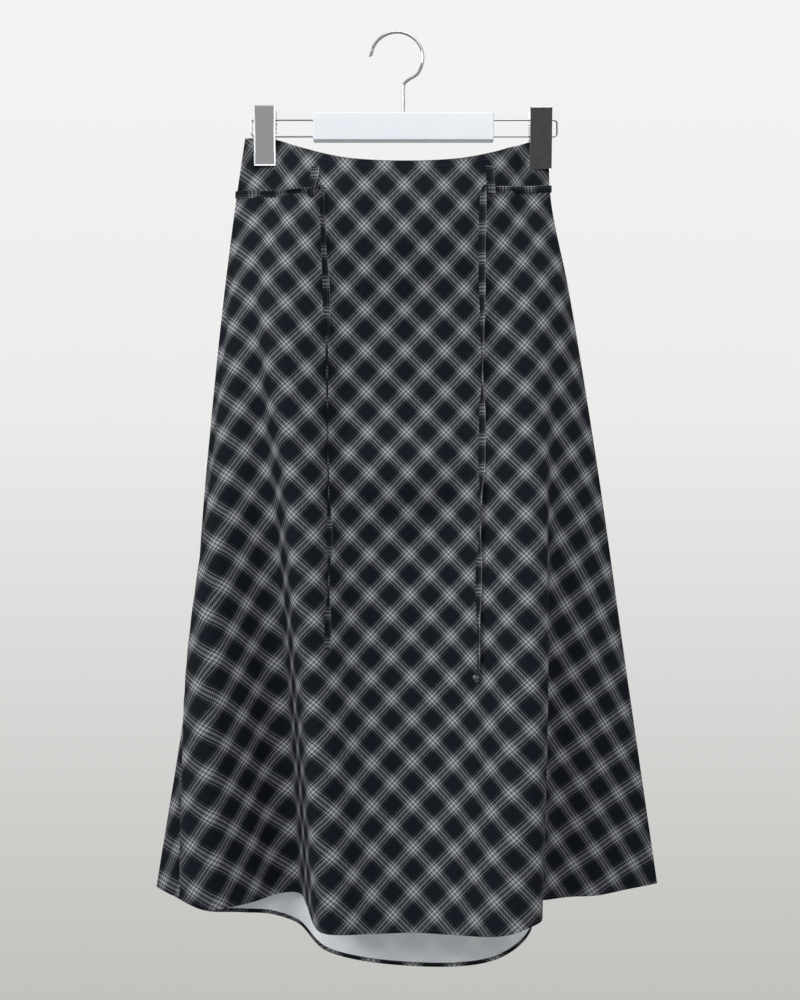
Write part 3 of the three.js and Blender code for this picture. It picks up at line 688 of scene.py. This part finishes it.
# The tie round the waist: x, height, twist, width and distance off the cloth at each stop
lyingFlat = (0, 8, 0.75)  # twist, width and distance of a stretch that lies flat
tieStops = {
    "tieSideLeft": [
        ("front", -88, -178.6, 62, 4.8, 2.6),
        ("front", -98, -179.0, 58, 5.4, 2.4),
        ("front", -120, -179.4, 46, 6.2, 1.8),
        ("front", -142, -178.8, 26, 7.2, 1.0),
        ("front", -160, -178.0, 8, 8, 0.75),
        ("front", -172, -177.6, *lyingFlat),
        ("seam", -1, -177.5, *lyingFlat),
        ("back", -172, -177.8, *lyingFlat),
        ("back", -150, -179.0, *lyingFlat),
        ("back", -120, -180.4, *lyingFlat),
        ("back", -92, -181.6, *lyingFlat),
    ],
    "tieSideRight": [
        ("front", 99, -177.6, -40, 5.2, 1.8),
        ("front", 108, -177.4, -30, 6, 1.2),
        ("front", 128, -175.8, -16, 6.8, 0.9),
        ("front", 148, -173.2, -6, 7.6, 0.75),
        ("front", 163, -171.4, *lyingFlat),
        ("seam", 1, -171.0, *lyingFlat),
        ("back", 165, -171.6, *lyingFlat),
        ("back", 140, -175.4, *lyingFlat),
        ("back", 118, -178.8, *lyingFlat),
        ("back", 96, -180.6, *lyingFlat),
    ],
    "tieBack": [
        ("back", -92, -181.6, *lyingFlat),
        ("back", -60, -182.2, *lyingFlat),
        ("back", -20, -182.6, *lyingFlat),
        ("back", 30, -182.4, *lyingFlat),
        ("back", 70, -181.4, *lyingFlat),
        ("back", 96, -180.6, *lyingFlat),
    ],
}


def waistTie(name, steps, start):
    rows = []
    for where, x, z, turn, width, off in tieStops[name]:
        if where == "seam":
            seam = lineAt(front, z)[0][0 if x < 0 else -1]
            rows.append((seam[0] + x * stripSettings["seamReach"], 0, z, x, 0, 0, turn, width))
            continue
        cloth = front if where == "front" else back
        place, out = onCloth(cloth, columnAt(cloth, x, z), z, off)
        rows.append((*place, *out, turn, width))
    line = smoothLine(rows, steps)
    thickness = stripSettings["thickness"]
    return clothStrip(
        name, line[:, :3], unit(line[:, 3:6]), line[:, 6], line[:, 7], thickness, start
    )


# steps along each, and where its length starts in the check
tieSteps = (("tieSideLeft", 80, -8), ("tieSideRight", 70, -18), ("tieBack", 70, 9))
tieRound = [waistTie(*settings) for settings in tieSteps]

# Belt loops: height over the band's middle, off the cloth, width and lean at each stop
loopSettings = {
    "thickness": 1.1,
    "steps": 34,
    "stops": [
        (25, 0.6, 9.2, 0.8),
        (24.4, 1.0, 9.2, 0.8),
        (20, 1.0, 9.2, 0.6),
        (14, 1.7, 9.0, 0.0),
        (7, 2.8, 8.6, -1.2),
        (1, 3.4, 8.2, -2.4),
        (-4.5, 3.2, 8.0, -3.2),
        (-7.0, 1.6, 8.0, -3.2),
        (-6.6, 0.6, 8.0, -3.2),
    ],
    "places": {  # cloth, middle, height, lean and where its length starts in the check
        "beltLoopFrontLeft": ("front", -88.4, -178.5, 1, -8),
        "beltLoopFrontRight": ("front", 100.0, -178.0, -0.3, 5),
        "beltLoopBackLeft": ("back", -92, -181.6, 0.4, -4),
        "beltLoopBackRight": ("back", 96, -180.6, -0.4, 9),
    },
}


def beltLoop(name, where, x, z, lean, start):
    cloth = front if where == "front" else back
    rows = []
    for up, off, width, slide in loopSettings["stops"]:
        column = columnAt(cloth, x + slide * lean, z + up)
        place, out = onCloth(cloth, column, z + up, off)
        rows.append((*place, *out, width))
    line = smoothLine(rows, loopSettings["steps"])
    turns, thickness = np.zeros(len(line)), loopSettings["thickness"]
    return clothStrip(name, line[:, :3], unit(line[:, 3:6]), turns, line[:, 6], thickness, start)


loops = [beltLoop(name, *place) for name, place in loopSettings["places"].items()]
print("ties and loops laid")


# The knot near the right end's tip: one overhand turn of the strip pulled tight
knotSettings = {
    "size": (8.8, 6.2, 9.6),
    "strand": 3.3,
    "top": -695.2,
    "x": 84.0,
    "standOff": 3.9,
    "start": -20,
    "ends": 0.12,  # left open at the two ends of the turn, in radians
    "steps": 90,
}


# A round strand or wire along a line
def tube(name, line, diameter, sides, material, start=0.0):
    line = np.asarray(line, float)
    tangents = unit(np.gradient(line, axis=0))
    guide = np.array([0.0, 1.0, 0.0] if abs(tangents[0][1]) < 0.9 else [1.0, 0.0, 0.0])
    diameters = np.broadcast_to(diameter, len(line))
    points, flats = [], []
    for centre, tangent, wide, run in zip(line, tangents, diameters, lengthAlong(line) + start):
        guide = unit(guide - tangent * guide.dot(tangent))
        other = np.cross(tangent, guide)
        for k in range(sides):
            angle = 2 * math.pi * k / sides
            spoke = guide * math.cos(angle) + other * math.sin(angle)
            points.append(centre + spoke * wide / 2)
            flats.append(straightGrain(run, wide * (abs(k - sides / 2) / sides) * 2))
    return closedPiece(name, points, ringFaces(len(line), sides), [material], 50, flats)


def knotLine(settings):
    z = settings["top"] - settings["size"][2] / 2
    centre, out = onCloth(front, columnAt(front, settings["x"], z), z, settings["standOff"])
    centre[0], centre[2] = settings["x"], z
    strand = settings["strand"]
    reach = [(size - strand) / 2 for size in settings["size"]]
    line = []
    ends = settings["ends"]
    # a trefoil, brought to a reach of about 1 each way
    for t in np.linspace(ends, 2 * math.pi - ends, settings["steps"]):
        swing = (math.sin(t) + 2 * math.sin(2 * t)) / 2.6
        rise = (math.cos(t) - 2 * math.cos(2 * t)) / 3.0
        depth = -math.sin(3 * t)
        line.append(centre + np.array((swing * reach[0], depth * reach[1], rise * reach[2])))
    return line


knot = tube(
    "tieKnot", knotLine(knotSettings), knotSettings["strand"], 12, twill, knotSettings["start"]
)


# Each piece rides on the one body and stands for the solids named with it
def settle(made, finish, *nodes):
    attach(made, "root")
    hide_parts(*nodes)


clothPieces = [
    (frontPiece, "front_panel"),
    (backPiece, "back_panel"),
    (hemFront, "front_hem_turn"),
    (hemBack, "back_hem_turn"),
    (waistFront,),
    (waistBack,),
    (tieLeft, "tie_end_left"),
    (tieRight, "tie_end_right"),
    (knot, "tie_knot_right"),
    (tieRound[0], "tie_side_left"),
    (tieRound[1], "tie_side_right"),
    (tieRound[2], "tie_back"),
    (loops[0], "belt_loop_front_left"),
    (loops[1], "belt_loop_front_right"),
    (loops[2], "belt_loop_back_left"),
    (loops[3], "belt_loop_back_right"),
]
for made, *nodes in clothPieces:
    settle(made, "check_cloth", *nodes)


# Bright plate on steel: a clear dark-and-bright mirror of the room, a little softened by wear.
# The clips' borders take a pale, dull finish that scatters the light and stays pale: a painted
# highlight standing in for the bright edges the chrome shows.
plateSettings = {
    "chromePlate": {"colour": "#d6d8da", "metal": 1.0, "rough": (0.05, 0.16), "wear": (160.0, 4.0)},
    # The wire is the same chrome with a darker base colour: painted shade for the dark room it
    # mirrors
    "shadedChromeWire": {"colour": "#a2a4a8", "metal": 1.0, "rough": (0.05, 0.16), "wear": (160.0, 4.0)},
    "paleHighlightBorder": {"colour": "#eef0f1", "metal": 0.25, "rough": (0.35, 0.55), "wear": (240.0, 3.0)},
}


def platedSteel(name, settings):
    finish = {"Base Color": linear(settings["colour"]), "Metallic": settings["metal"]}
    material, tree, shader = newMaterial(name, **finish)
    scale, detail = settings["wear"]
    low, high = settings["rough"]
    place = {"Vector": node(tree, "ShaderNodeTexCoord").outputs["Object"]}
    wear = node(tree, "ShaderNodeTexNoise", place, {"Scale": scale, "Detail": detail})
    rough = {"To Min": low, "To Max": high}
    dulled = node(tree, "ShaderNodeMapRange", {"Value": wear.outputs["Fac"]}, rough)
    tree.links.new(dulled.outputs[0], shader["Roughness"])
    return material


# White lacquer sprayed on a wooden bar: satin, with a faint orange-peel ripple
def whiteLacquer():
    finish = {"Roughness": 0.32, "Specular IOR Level": 0.45}
    material, tree, shader = newMaterial("whiteLacquer", **finish)
    place = {"Vector": node(tree, "ShaderNodeTexCoord").outputs["Object"]}
    peel = node(tree, "ShaderNodeTexNoise", place, {"Scale": 700.0, "Detail": 2.0})
    stain = node(tree, "ShaderNodeTexNoise", place, {"Scale": 22.0, "Detail": 3.0})
    ripple = {"Strength": 0.15, "Distance": 0.0001}
    bump = node(tree, "ShaderNodeBump", {"Height": peel.outputs["Fac"]}, ripple)
    tones = {6: linear("#d7dce1"), 7: linear("#dee2e6")}
    colour = node(tree, "ShaderNodeMix", {0: stain.outputs["Fac"]}, tones, data_type="RGBA")
    tree.links.new(colour.outputs[2], shader["Base Color"])
    tree.links.new(bump.outputs[0], shader["Normal"])
    return material


# Spun polyester sewing thread: near black with a soft shine
def sewingThread():
    material, tree, shader = newMaterial("sewingThread", Roughness=0.55)
    place = {"Vector": node(tree, "ShaderNodeTexCoord").outputs["Object"]}
    ply = node(tree, "ShaderNodeTexWave", place, {"Scale": 420.0, "Distortion": 1.5})
    tones = {6: linear("#1b1e25"), 7: linear("#343842")}
    colour = node(tree, "ShaderNodeMix", {0: ply.outputs["Fac"]}, tones, data_type="RGBA")
    tree.links.new(colour.outputs[2], shader["Base Color"])
    return material


chrome, shadedChrome, highlightBorder = [platedSteel(*finish) for finish in plateSettings.items()]
lacquer = whiteLacquer()
thread = sewingThread()


def roundOff(made, width, segments):
    bevel = made.modifiers.new("edges", "BEVEL")
    bevel.width = width * mm
    bevel.segments = segments
    bevel.limit_method = "ANGLE"
    bevel.angle_limit = math.radians(30)
    bevel.harden_normals = True
    return made


# The hook: an open ring, an S-bend and a stem that stands in the bar
hookSettings = {
    "wire": 3.4,
    "radius": 28.5,
    "stem": 7.1,
    "tip": (-30.6, -25.2),
    "ring": (170, -39, -13),  # degrees, from the tip round to the bend
    "bend": [(4.6, -51.4), (0.8, -55.6), (0, -60), (0, -74), (0, -96)],  # beside the stem, height
    "rounded": 5,  # rings of the tip that grow to the wire's width
}


def makeHook(settings):
    radius, wire = settings["radius"], settings["wire"]
    centre = -radius + wire / 2
    points = [(settings["tip"][0], 0, settings["tip"][1])]
    for angle in range(*settings["ring"]):
        turn = math.radians(angle)
        points.append((radius * math.cos(turn), 0, centre + radius * math.sin(turn)))
    points += [(settings["stem"] + beside, 0, z) for beside, z in settings["bend"]]
    line = smoothLine(points, 240)
    diameters = np.full(len(line), wire)
    rounded = settings["rounded"]
    diameters[:rounded] *= np.sin(np.linspace(0.35, math.pi / 2, rounded))
    return tube("hookWire", line, diameters, 20, shadedChrome)


# The bar: a lacquered moulding with a collar round the stem
barSettings = {
    "x": 7.1,
    "y": -1,
    "length": 198,
    "depth": 12,
    "top": -88.4,
    "bottom": -119,
    "corner": 1.4,
    "collar": (7.4, 3.6, 1.5),  # outside, inside and height
    "sunk": 0.4,  # how deep the collar stands in the bar
}


def box(name, low, high, material):
    corners = list(itertools.product(*zip(low, high)))
    faces = [(0, 1, 3, 2), (4, 6, 7, 5), (0, 4, 5, 1), (2, 3, 7, 6), (0, 2, 6, 4), (1, 5, 7, 3)]
    return faceOut(makePiece(name, corners, faces, [material]))


def makeBar(settings):
    half, deep = settings["length"] / 2, settings["depth"] / 2
    low = (settings["x"] - half, settings["y"] - deep, settings["bottom"])
    high = (settings["x"] + half, settings["y"] + deep, settings["top"])
    return roundOff(box("barMoulding", low, high, lacquer), settings["corner"], 4)


def ringAround(name, centre, axis, sizes, sides=24):
    centre, axis = np.array(centre, float), np.array(axis, float)
    outer, inner, length = sizes
    aside = unit(np.cross(axis, (0.3, 0.5, 0.8)))
    other = np.cross(axis, aside)
    chamfer = 0.25
    profile = [
        (inner, 0),
        (outer - chamfer, 0),
        (outer, chamfer),
        (outer, length - chamfer),
        (outer - chamfer, length),
        (inner, length),
    ]
    points, faces = [], []
    count = len(profile)
    for k in range(sides):
        turn = 2 * math.pi * k / sides
        spoke = aside * math.cos(turn) + other * math.sin(turn)
        points += [centre + spoke * radius / 2 + axis * reach for radius, reach in profile]
        this, after = k * count, (k + 1) % sides * count
        for i in range(count):
            j = (i + 1) % count
            faces.append((this + i, this + j, after + j, after + i))
    return closedPiece(name, points, faces, [chrome], 40)


# The rods: a wire bent into a long U on each side
rodSettings = {
    "wire": 2.2,
    "heights": (-95, -113.2),
    "corner": 4,
    "ends": {"Left": -160, "Right": 176},
    "inBar": 14,
    "ferrule": (4.2, 2.3, 1.1),  # outside, inside and length
    "sunk": 0.3,
}


def makeRod(name, end, settings):
    direction = 1 if end > 0 else -1
    start = barSettings["x"] + direction * (barSettings["length"] / 2 - settings["inBar"])
    upper, lower = settings["heights"]
    corner = settings["corner"]
    bend = end - direction * corner
    points = [(x, 0, upper) for x in np.linspace(start, bend, 12)]
    for turn in np.linspace(0, math.pi / 2, 9)[1:]:
        beside, above = math.sin(turn) * corner, math.cos(turn) * corner
        points.append((bend + direction * beside, 0, upper - corner + above))
    for turn in np.linspace(0, math.pi / 2, 9):
        beside, above = math.cos(turn) * corner, math.sin(turn) * corner
        points.append((bend + direction * beside, 0, lower + corner - above))
    points += [(x, 0, lower) for x in np.linspace(bend, start, 12)[1:]]
    return tube(name, points, settings["wire"], 16, shadedChrome)


# The clips: two channels on each side that lean together on the waist edge
clipSettings = {
    "plate": 1.2,
    "spread": 13,
    "lip": 0.3,
    "places": {  # middle, top, width, length
        "left": (-144.6, -82.4, 23.5, 64.6),
        "right": (157.4, -84.4, 24, 65.6),
    },
    "borders": {  # width, height over the plate and how far down it is painted pale as a highlight
        "left": (1.7, 0.5, 1),
        "right": (1.5, 0.02, 0.1),
    },
    "flanges": [(0, 5), (0.44, 4.5), (0.73, 1.5), (1, 1.5)],  # share of the length, depth
    "plateArea": 200,  # square mm, more than any face but the plates has
}


def clipHalf(side, half, settings):
    x, top, width, length = settings["places"][side]
    rim, raised, highlightReach = settings["borders"][side]
    low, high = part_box(f"clip_{side}_{half}")
    facing = -1 if half == "front" else 1
    inner = high.y if facing < 0 else low.y
    jaw = inner / mm * facing + settings["plate"] + settings["lip"]
    outer, inside = [], []
    for share, flange in settings["flanges"]:
        down = share * length
        y = settings["spread"] + (jaw - settings["spread"]) * down / length
        for row, inset, depth in ((outer, 0, 0), (inside, settings["plate"], settings["plate"])):
            reach = width / 2 - inset
            places = [(-reach, flange), (-reach, depth), (reach, depth), (reach, flange)]
            row.append([(x + across, (y - deep) * facing, top - down) for across, deep in places])
    outer, inside = np.array(outer), np.array(inside)
    name = f"clip{side.title()}{half.title()}"
    made = shell(name, outer, inside, np.zeros((*outer.shape[:2], 2)), [chrome], sharp=30)
    made.data.materials.append(highlightBorder)
    work = bmesh.new()
    work.from_mesh(made.data)
    work.normal_update()
    least = settings["plateArea"] * mm**2
    large = [face for face in work.faces if face.calc_area() > least]
    plates = [face for face in large if face.normal.y * facing > 0.9]
    ring = bmesh.ops.inset_region(work, faces=plates, thickness=rim * mm, depth=-raised * mm)
    # border faces down to this reach get the pale finish: a painted highlight
    for face in ring["faces"]:
        if face.calc_center_median().z > (top - highlightReach * length) * mm:
            face.material_index = 1
    work.to_mesh(made.data)
    work.free()
    made.data.set_sharp_from_angle(angle=math.radians(12))
    return roundOff(made, 0.3, 2)


# The spring coil between the plates, at the pivot
springSettings = {"wire": 0.9, "coil": 6.4, "turns": 9, "up": 5.4, "inset": 2.2}


def makeSpring(side, settings):
    x, _, width = clipSettings["places"][side][:3]
    z = rodSettings["heights"][0] + settings["up"]
    reach = width / 2 - settings["inset"]
    radius = settings["coil"] / 2
    line = []
    for t in np.linspace(0, 1, settings["turns"] * 18):
        turn = t * settings["turns"] * 2 * math.pi
        beside = x - reach + 2 * reach * t
        line.append((beside, math.cos(turn) * radius, z + math.sin(turn) * radius))
    return tube(f"spring{side.title()}", line, settings["wire"], 8, chrome)


settle(makeHook(hookSettings), "hanger_chrome", "hook")
settle(makeBar(barSettings), "hanger_white", "bar")
stemFoot = (hookSettings["stem"], 0, barSettings["top"] - barSettings["sunk"])
collar = ringAround("stemCollar", stemFoot, (0, 0, 1), barSettings["collar"])
settle(collar, "hanger_chrome")
for side, end in rodSettings["ends"].items():
    settle(makeRod(f"rod{side}", end, rodSettings), "hanger_chrome", f"rod_{side.lower()}")
    direction = 1 if end > 0 else -1
    face = barSettings["x"] + direction * (barSettings["length"] / 2 - rodSettings["sunk"])
    for height, where in zip(rodSettings["heights"], ("Upper", "Lower")):
        name, foot = f"ferrule{side}{where}", (face, 0, height)
        ferrule = ringAround(name, foot, (direction, 0, 0), rodSettings["ferrule"])
        settle(ferrule, "hanger_chrome")
for side in clipSettings["places"]:
    for half in ("front", "back"):
        settle(clipHalf(side, half, clipSettings), "hanger_chrome", f"clip_{side}_{half}")
    settle(makeSpring(side, springSettings), "hanger_chrome")
    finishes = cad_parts[f"clip_{side}_carrier"].data.materials
    finishes.clear()
    finishes.append(chrome)
print("hanger made")


# Rows of stitches: a rounded bar of thread on every step of a line
stitchSettings = {
    "pitch": 2.9,
    "length": 2.1,
    "width": 0.42,
    "lift": 0.1,  # mm off the outside
    "hem": {"up": 3.1, "inside": -0.75},  # mm from the edge, mm off the inside
    "waist": {"up": 6.0, "inside": -0.7},
    "clear": 6,  # columns left plain at each seam
    "loop": {"up": 21.5, "lift": 1.62, "scale": 0.6, "across": (-3.4, -1.1, 1.1, 3.4)},
}


def stitchTree():
    tree = bpy.data.node_groups.new("stitchRow", "GeometryNodeTree")
    sockets = {}
    for name in ("Geometry", "Pitch", "Length", "Width"):
        kind = "NodeSocketGeometry" if name == "Geometry" else "NodeSocketFloat"
        sockets[name] = tree.interface.new_socket(name=name, in_out="INPUT", socket_type=kind)
    tree.interface.new_socket(name="Geometry", in_out="OUTPUT", socket_type="NodeSocketGeometry")
    entry = node(tree, "NodeGroupInput")
    curve = node(tree, "GeometryNodeMeshToCurve", {"Mesh": entry.outputs["Geometry"]})
    pitch = {"Curve": curve.outputs[0], "Length": entry.outputs["Pitch"]}
    even = node(tree, "GeometryNodeResampleCurve", pitch, mode="LENGTH")
    bead = node(tree, "GeometryNodeMeshIcoSphere", inputs={"Radius": 0.5, "Subdivisions": 1})
    sizes = {"X": "Length", "Y": "Width", "Z": "Width"}
    size = node(
        tree, "ShaderNodeCombineXYZ", {axis: entry.outputs[key] for axis, key in sizes.items()}
    )
    tangent = {"Vector": node(tree, "GeometryNodeInputTangent").outputs[0]}
    heading = node(tree, "FunctionNodeAlignRotationToVector", tangent, axis="X")
    beads = {"Points": even, "Instance": bead, "Rotation": heading, "Scale": size}
    beads = {key: made.outputs[0] for key, made in beads.items()}
    laid = node(tree, "GeometryNodeInstanceOnPoints", beads)
    real = {"Geometry": node(tree, "GeometryNodeRealizeInstances", {0: laid.outputs[0]}).outputs[0]}
    finish = node(tree, "GeometryNodeSetMaterial", real, {"Material": thread})
    node(tree, "NodeGroupOutput", {"Geometry": finish.outputs[0]})
    return tree, {name: socket.identifier for name, socket in sockets.items()}


stitchRow, stitchInputs = stitchTree()


def stitches(name, lines, settings, scale=1.0):
    points, edges = [], []
    for line in lines:
        first = len(points)
        points += [tuple(np.asarray(point) * mm) for point in line]
        edges += [(i, i + 1) for i in range(first, len(points) - 1)]
    mesh = bpy.data.meshes.new(name + "Line")
    mesh.from_pydata(points, edges, [])
    guide = addObject(name + "Line", mesh)
    rows = guide.modifiers.new("stitches", "NODES")
    rows.node_group = stitchRow
    for key, value in (("Pitch", "pitch"), ("Length", "length"), ("Width", "width")):
        rows[stitchInputs[key]] = settings[value] * scale * mm
    graph = bpy.context.evaluated_depsgraph_get()
    sewn = bpy.data.meshes.new_from_object(guide.evaluated_get(graph))
    bpy.data.objects.remove(guide)
    sewn.shade_smooth()
    made = addObject(name, sewn)
    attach(made, "root")


def rowOn(cloth, face, rows, fromEdge, lift):
    columns = slice(stitchSettings["clear"], -stitchSettings["clear"])
    edge, beside = (cloth[face][row, columns] for row in rows)
    return edge + unit(beside - edge) * fromEdge + cloth["out"][rows[0], columns] * lift


def edgeStitches(name, edge):
    rows = [turnSettings[edge][row] for row in ("row", "next")]
    settings = stitchSettings[edge]
    faces = (("outside", stitchSettings["lift"]), ("inside", settings["inside"]))
    sides = [(cloth, *face) for face in faces for cloth in (front, back)]
    lines = [rowOn(cloth, face, rows, settings["up"], lift) for cloth, face, lift in sides]
    stitches(name, lines, stitchSettings)


def acrossLoop(where, x, z, *_):
    cloth = front if where == "front" else back
    settings = stitchSettings["loop"]
    height = z + settings["up"]
    columns = [columnAt(cloth, x + step, height) for step in settings["across"]]
    return [onCloth(cloth, column, height, settings["lift"])[0] for column in columns]


edgeStitches("hemStitches", "hem")
edgeStitches("waistStitches", "waist")
loopRows = [acrossLoop(*place) for place in loopSettings["places"].values()]
stitches("loopStitches", loopRows, stitchSettings, stitchSettings["loop"]["scale"])
print("stitches sewn")


def declareTie(line):
    line = line * mm


declareTie(leftLine)
declareTie(rightLine)


# Backdrop: a pale wall with painted shade that gets darker downwards, and glows by itself so that
# it stays even
wallSettings = {
    "tones": [(-2.1, "#bebfbb"), (-0.2, "#ecedeb"), (0.9, "#f2f3f2")],  # height in metres, colour
    "half": 4.5,
    "outline": [(-3.0, -2.2), (1.4, -2.2), (1.9, -2.13), (2.25, -1.9), (2.4, -1.5), (2.4, 2.6)],
}


def makeStage(settings):
    half = settings["half"]
    points = [(x * 1000, y * 1000, z * 1000) for y, z in settings["outline"] for x in (-half, half)]
    faces = [(2 * i, 2 * i + 1, 2 * i + 3, 2 * i + 2) for i in range(len(settings["outline"]) - 1)]
    material, tree, glow = newMaterial("paleWall", "ShaderNodeEmission")
    place = node(tree, "ShaderNodeTexCoord")
    axes = node(tree, "ShaderNodeSeparateXYZ", {0: place.outputs["Object"]})
    low, high = settings["tones"][0][0], settings["tones"][-1][0]
    ends = {"From Min": low, "From Max": high}
    height = node(tree, "ShaderNodeMapRange", {"Value": axes.outputs["Z"]}, ends)
    # painted shade: the glow is graded darker towards the floor, where the light falls off
    paint = node(tree, "ShaderNodeValToRGB", {"Fac": height.outputs[0]})
    stops = paint.color_ramp.elements
    for z, _ in settings["tones"][2:]:
        stops.new((z - low) / (high - low))
    for stop, (z, colour) in zip(stops, settings["tones"]):
        stop.position = (z - low) / (high - low)
        stop.color = linear(colour)
    tree.links.new(paint.outputs["Color"], glow["Color"])
    makePiece("wallAndFloor", points, faces, [material])


lightSettings = {
    "key": {"place": (-2.2, -1.5, 0.9), "size": 1.1, "power": 47},
    "front": {"place": (0.6, -2.1, 1.2), "size": 1.4, "power": 22},
    "top": {"place": (0.1, -0.9, 1.5), "size": 1.2, "power": 15},
    "low": {"place": (0.3, -2.2, -1.5), "size": 1.2, "power": 1.8},
}
roomSettings = {"aim": (0, 0, -0.5), "sky": (0.92, 0.94, 0.96, 1), "strength": 0.4}
# Cards that only the chrome sees: grey in front, bright at the sides and above, dark at the right
cardSettings = {
    "roomCard": {"low": (-2.4, -3.2, -1.7), "high": (2.4, -3.2, 0.75), "tone": 0.42},
    "darkCard": {"low": (0.16, -1.6, -0.4), "high": (0.62, -1.6, 0.5), "tone": 0.075},
    "darkFloor": {"low": (0.1, -1.2, -1.9), "high": (0.8, 0.2, -1.9), "tone": 0.06},
    "leftCard": {"low": (-2.9, -2.6, -1.6), "high": (-2.9, 1.2, 1.6), "tone": 1.1},
    "rightCard": {"low": (2.9, -2.6, -1.6), "high": (2.9, 1.2, 1.6), "tone": 0.9},
    "overheadCard": {"low": (-2.4, -2.6, 2.5), "high": (2.4, 1.2, 2.5), "tone": 1.2},
}


def makeCards(settings):
    for name, card in settings.items():
        ends = [[value * 1000 for value in card[end]] for end in ("low", "high")]
        thin = next(i for i in range(3) if ends[0][i] == ends[1][i])
        first, second = [i for i in range(3) if i != thin]
        corners = []
        for atFirst, atSecond in ((0, 0), (1, 0), (1, 1), (0, 1)):
            corner = list(ends[0])
            corner[first], corner[second] = ends[atFirst][first], ends[atSecond][second]
            corners.append(corner)
        white = {"Color": (1, 1, 1, 1), "Strength": card["tone"]}
        glow = newMaterial(name, "ShaderNodeEmission", **white)[0]
        made = makePiece(name, corners, [(0, 1, 2, 3)], [glow])
        made.visible_camera = made.visible_diffuse = False
        made.visible_shadow = made.visible_transmission = False


def makeLights(settings):
    for name, light in settings.items():
        data = bpy.data.lights.new(name, "AREA")
        data.size = light["size"]
        data.energy = light["power"]
        lamp = addObject(name, data)
        lamp.location = light["place"]
        lamp.visible_camera = False
        aim = Vector(roomSettings["aim"]) - lamp.location
        lamp.rotation_euler = aim.to_track_quat("-Z", "Y").to_euler()
    world = bpy.data.worlds.new("room")
    world.use_nodes = True
    sky = world.node_tree.nodes["Background"].inputs
    sky["Color"].default_value = roomSettings["sky"]
    sky["Strength"].default_value = roomSettings["strength"]
    bpy.context.scene.world = world


makeStage(wallSettings)
makeLights(lightSettings)
makeCards(cardSettings)
bpy.context.scene.view_settings.view_transform = "Standard"
print("stage and lights set")
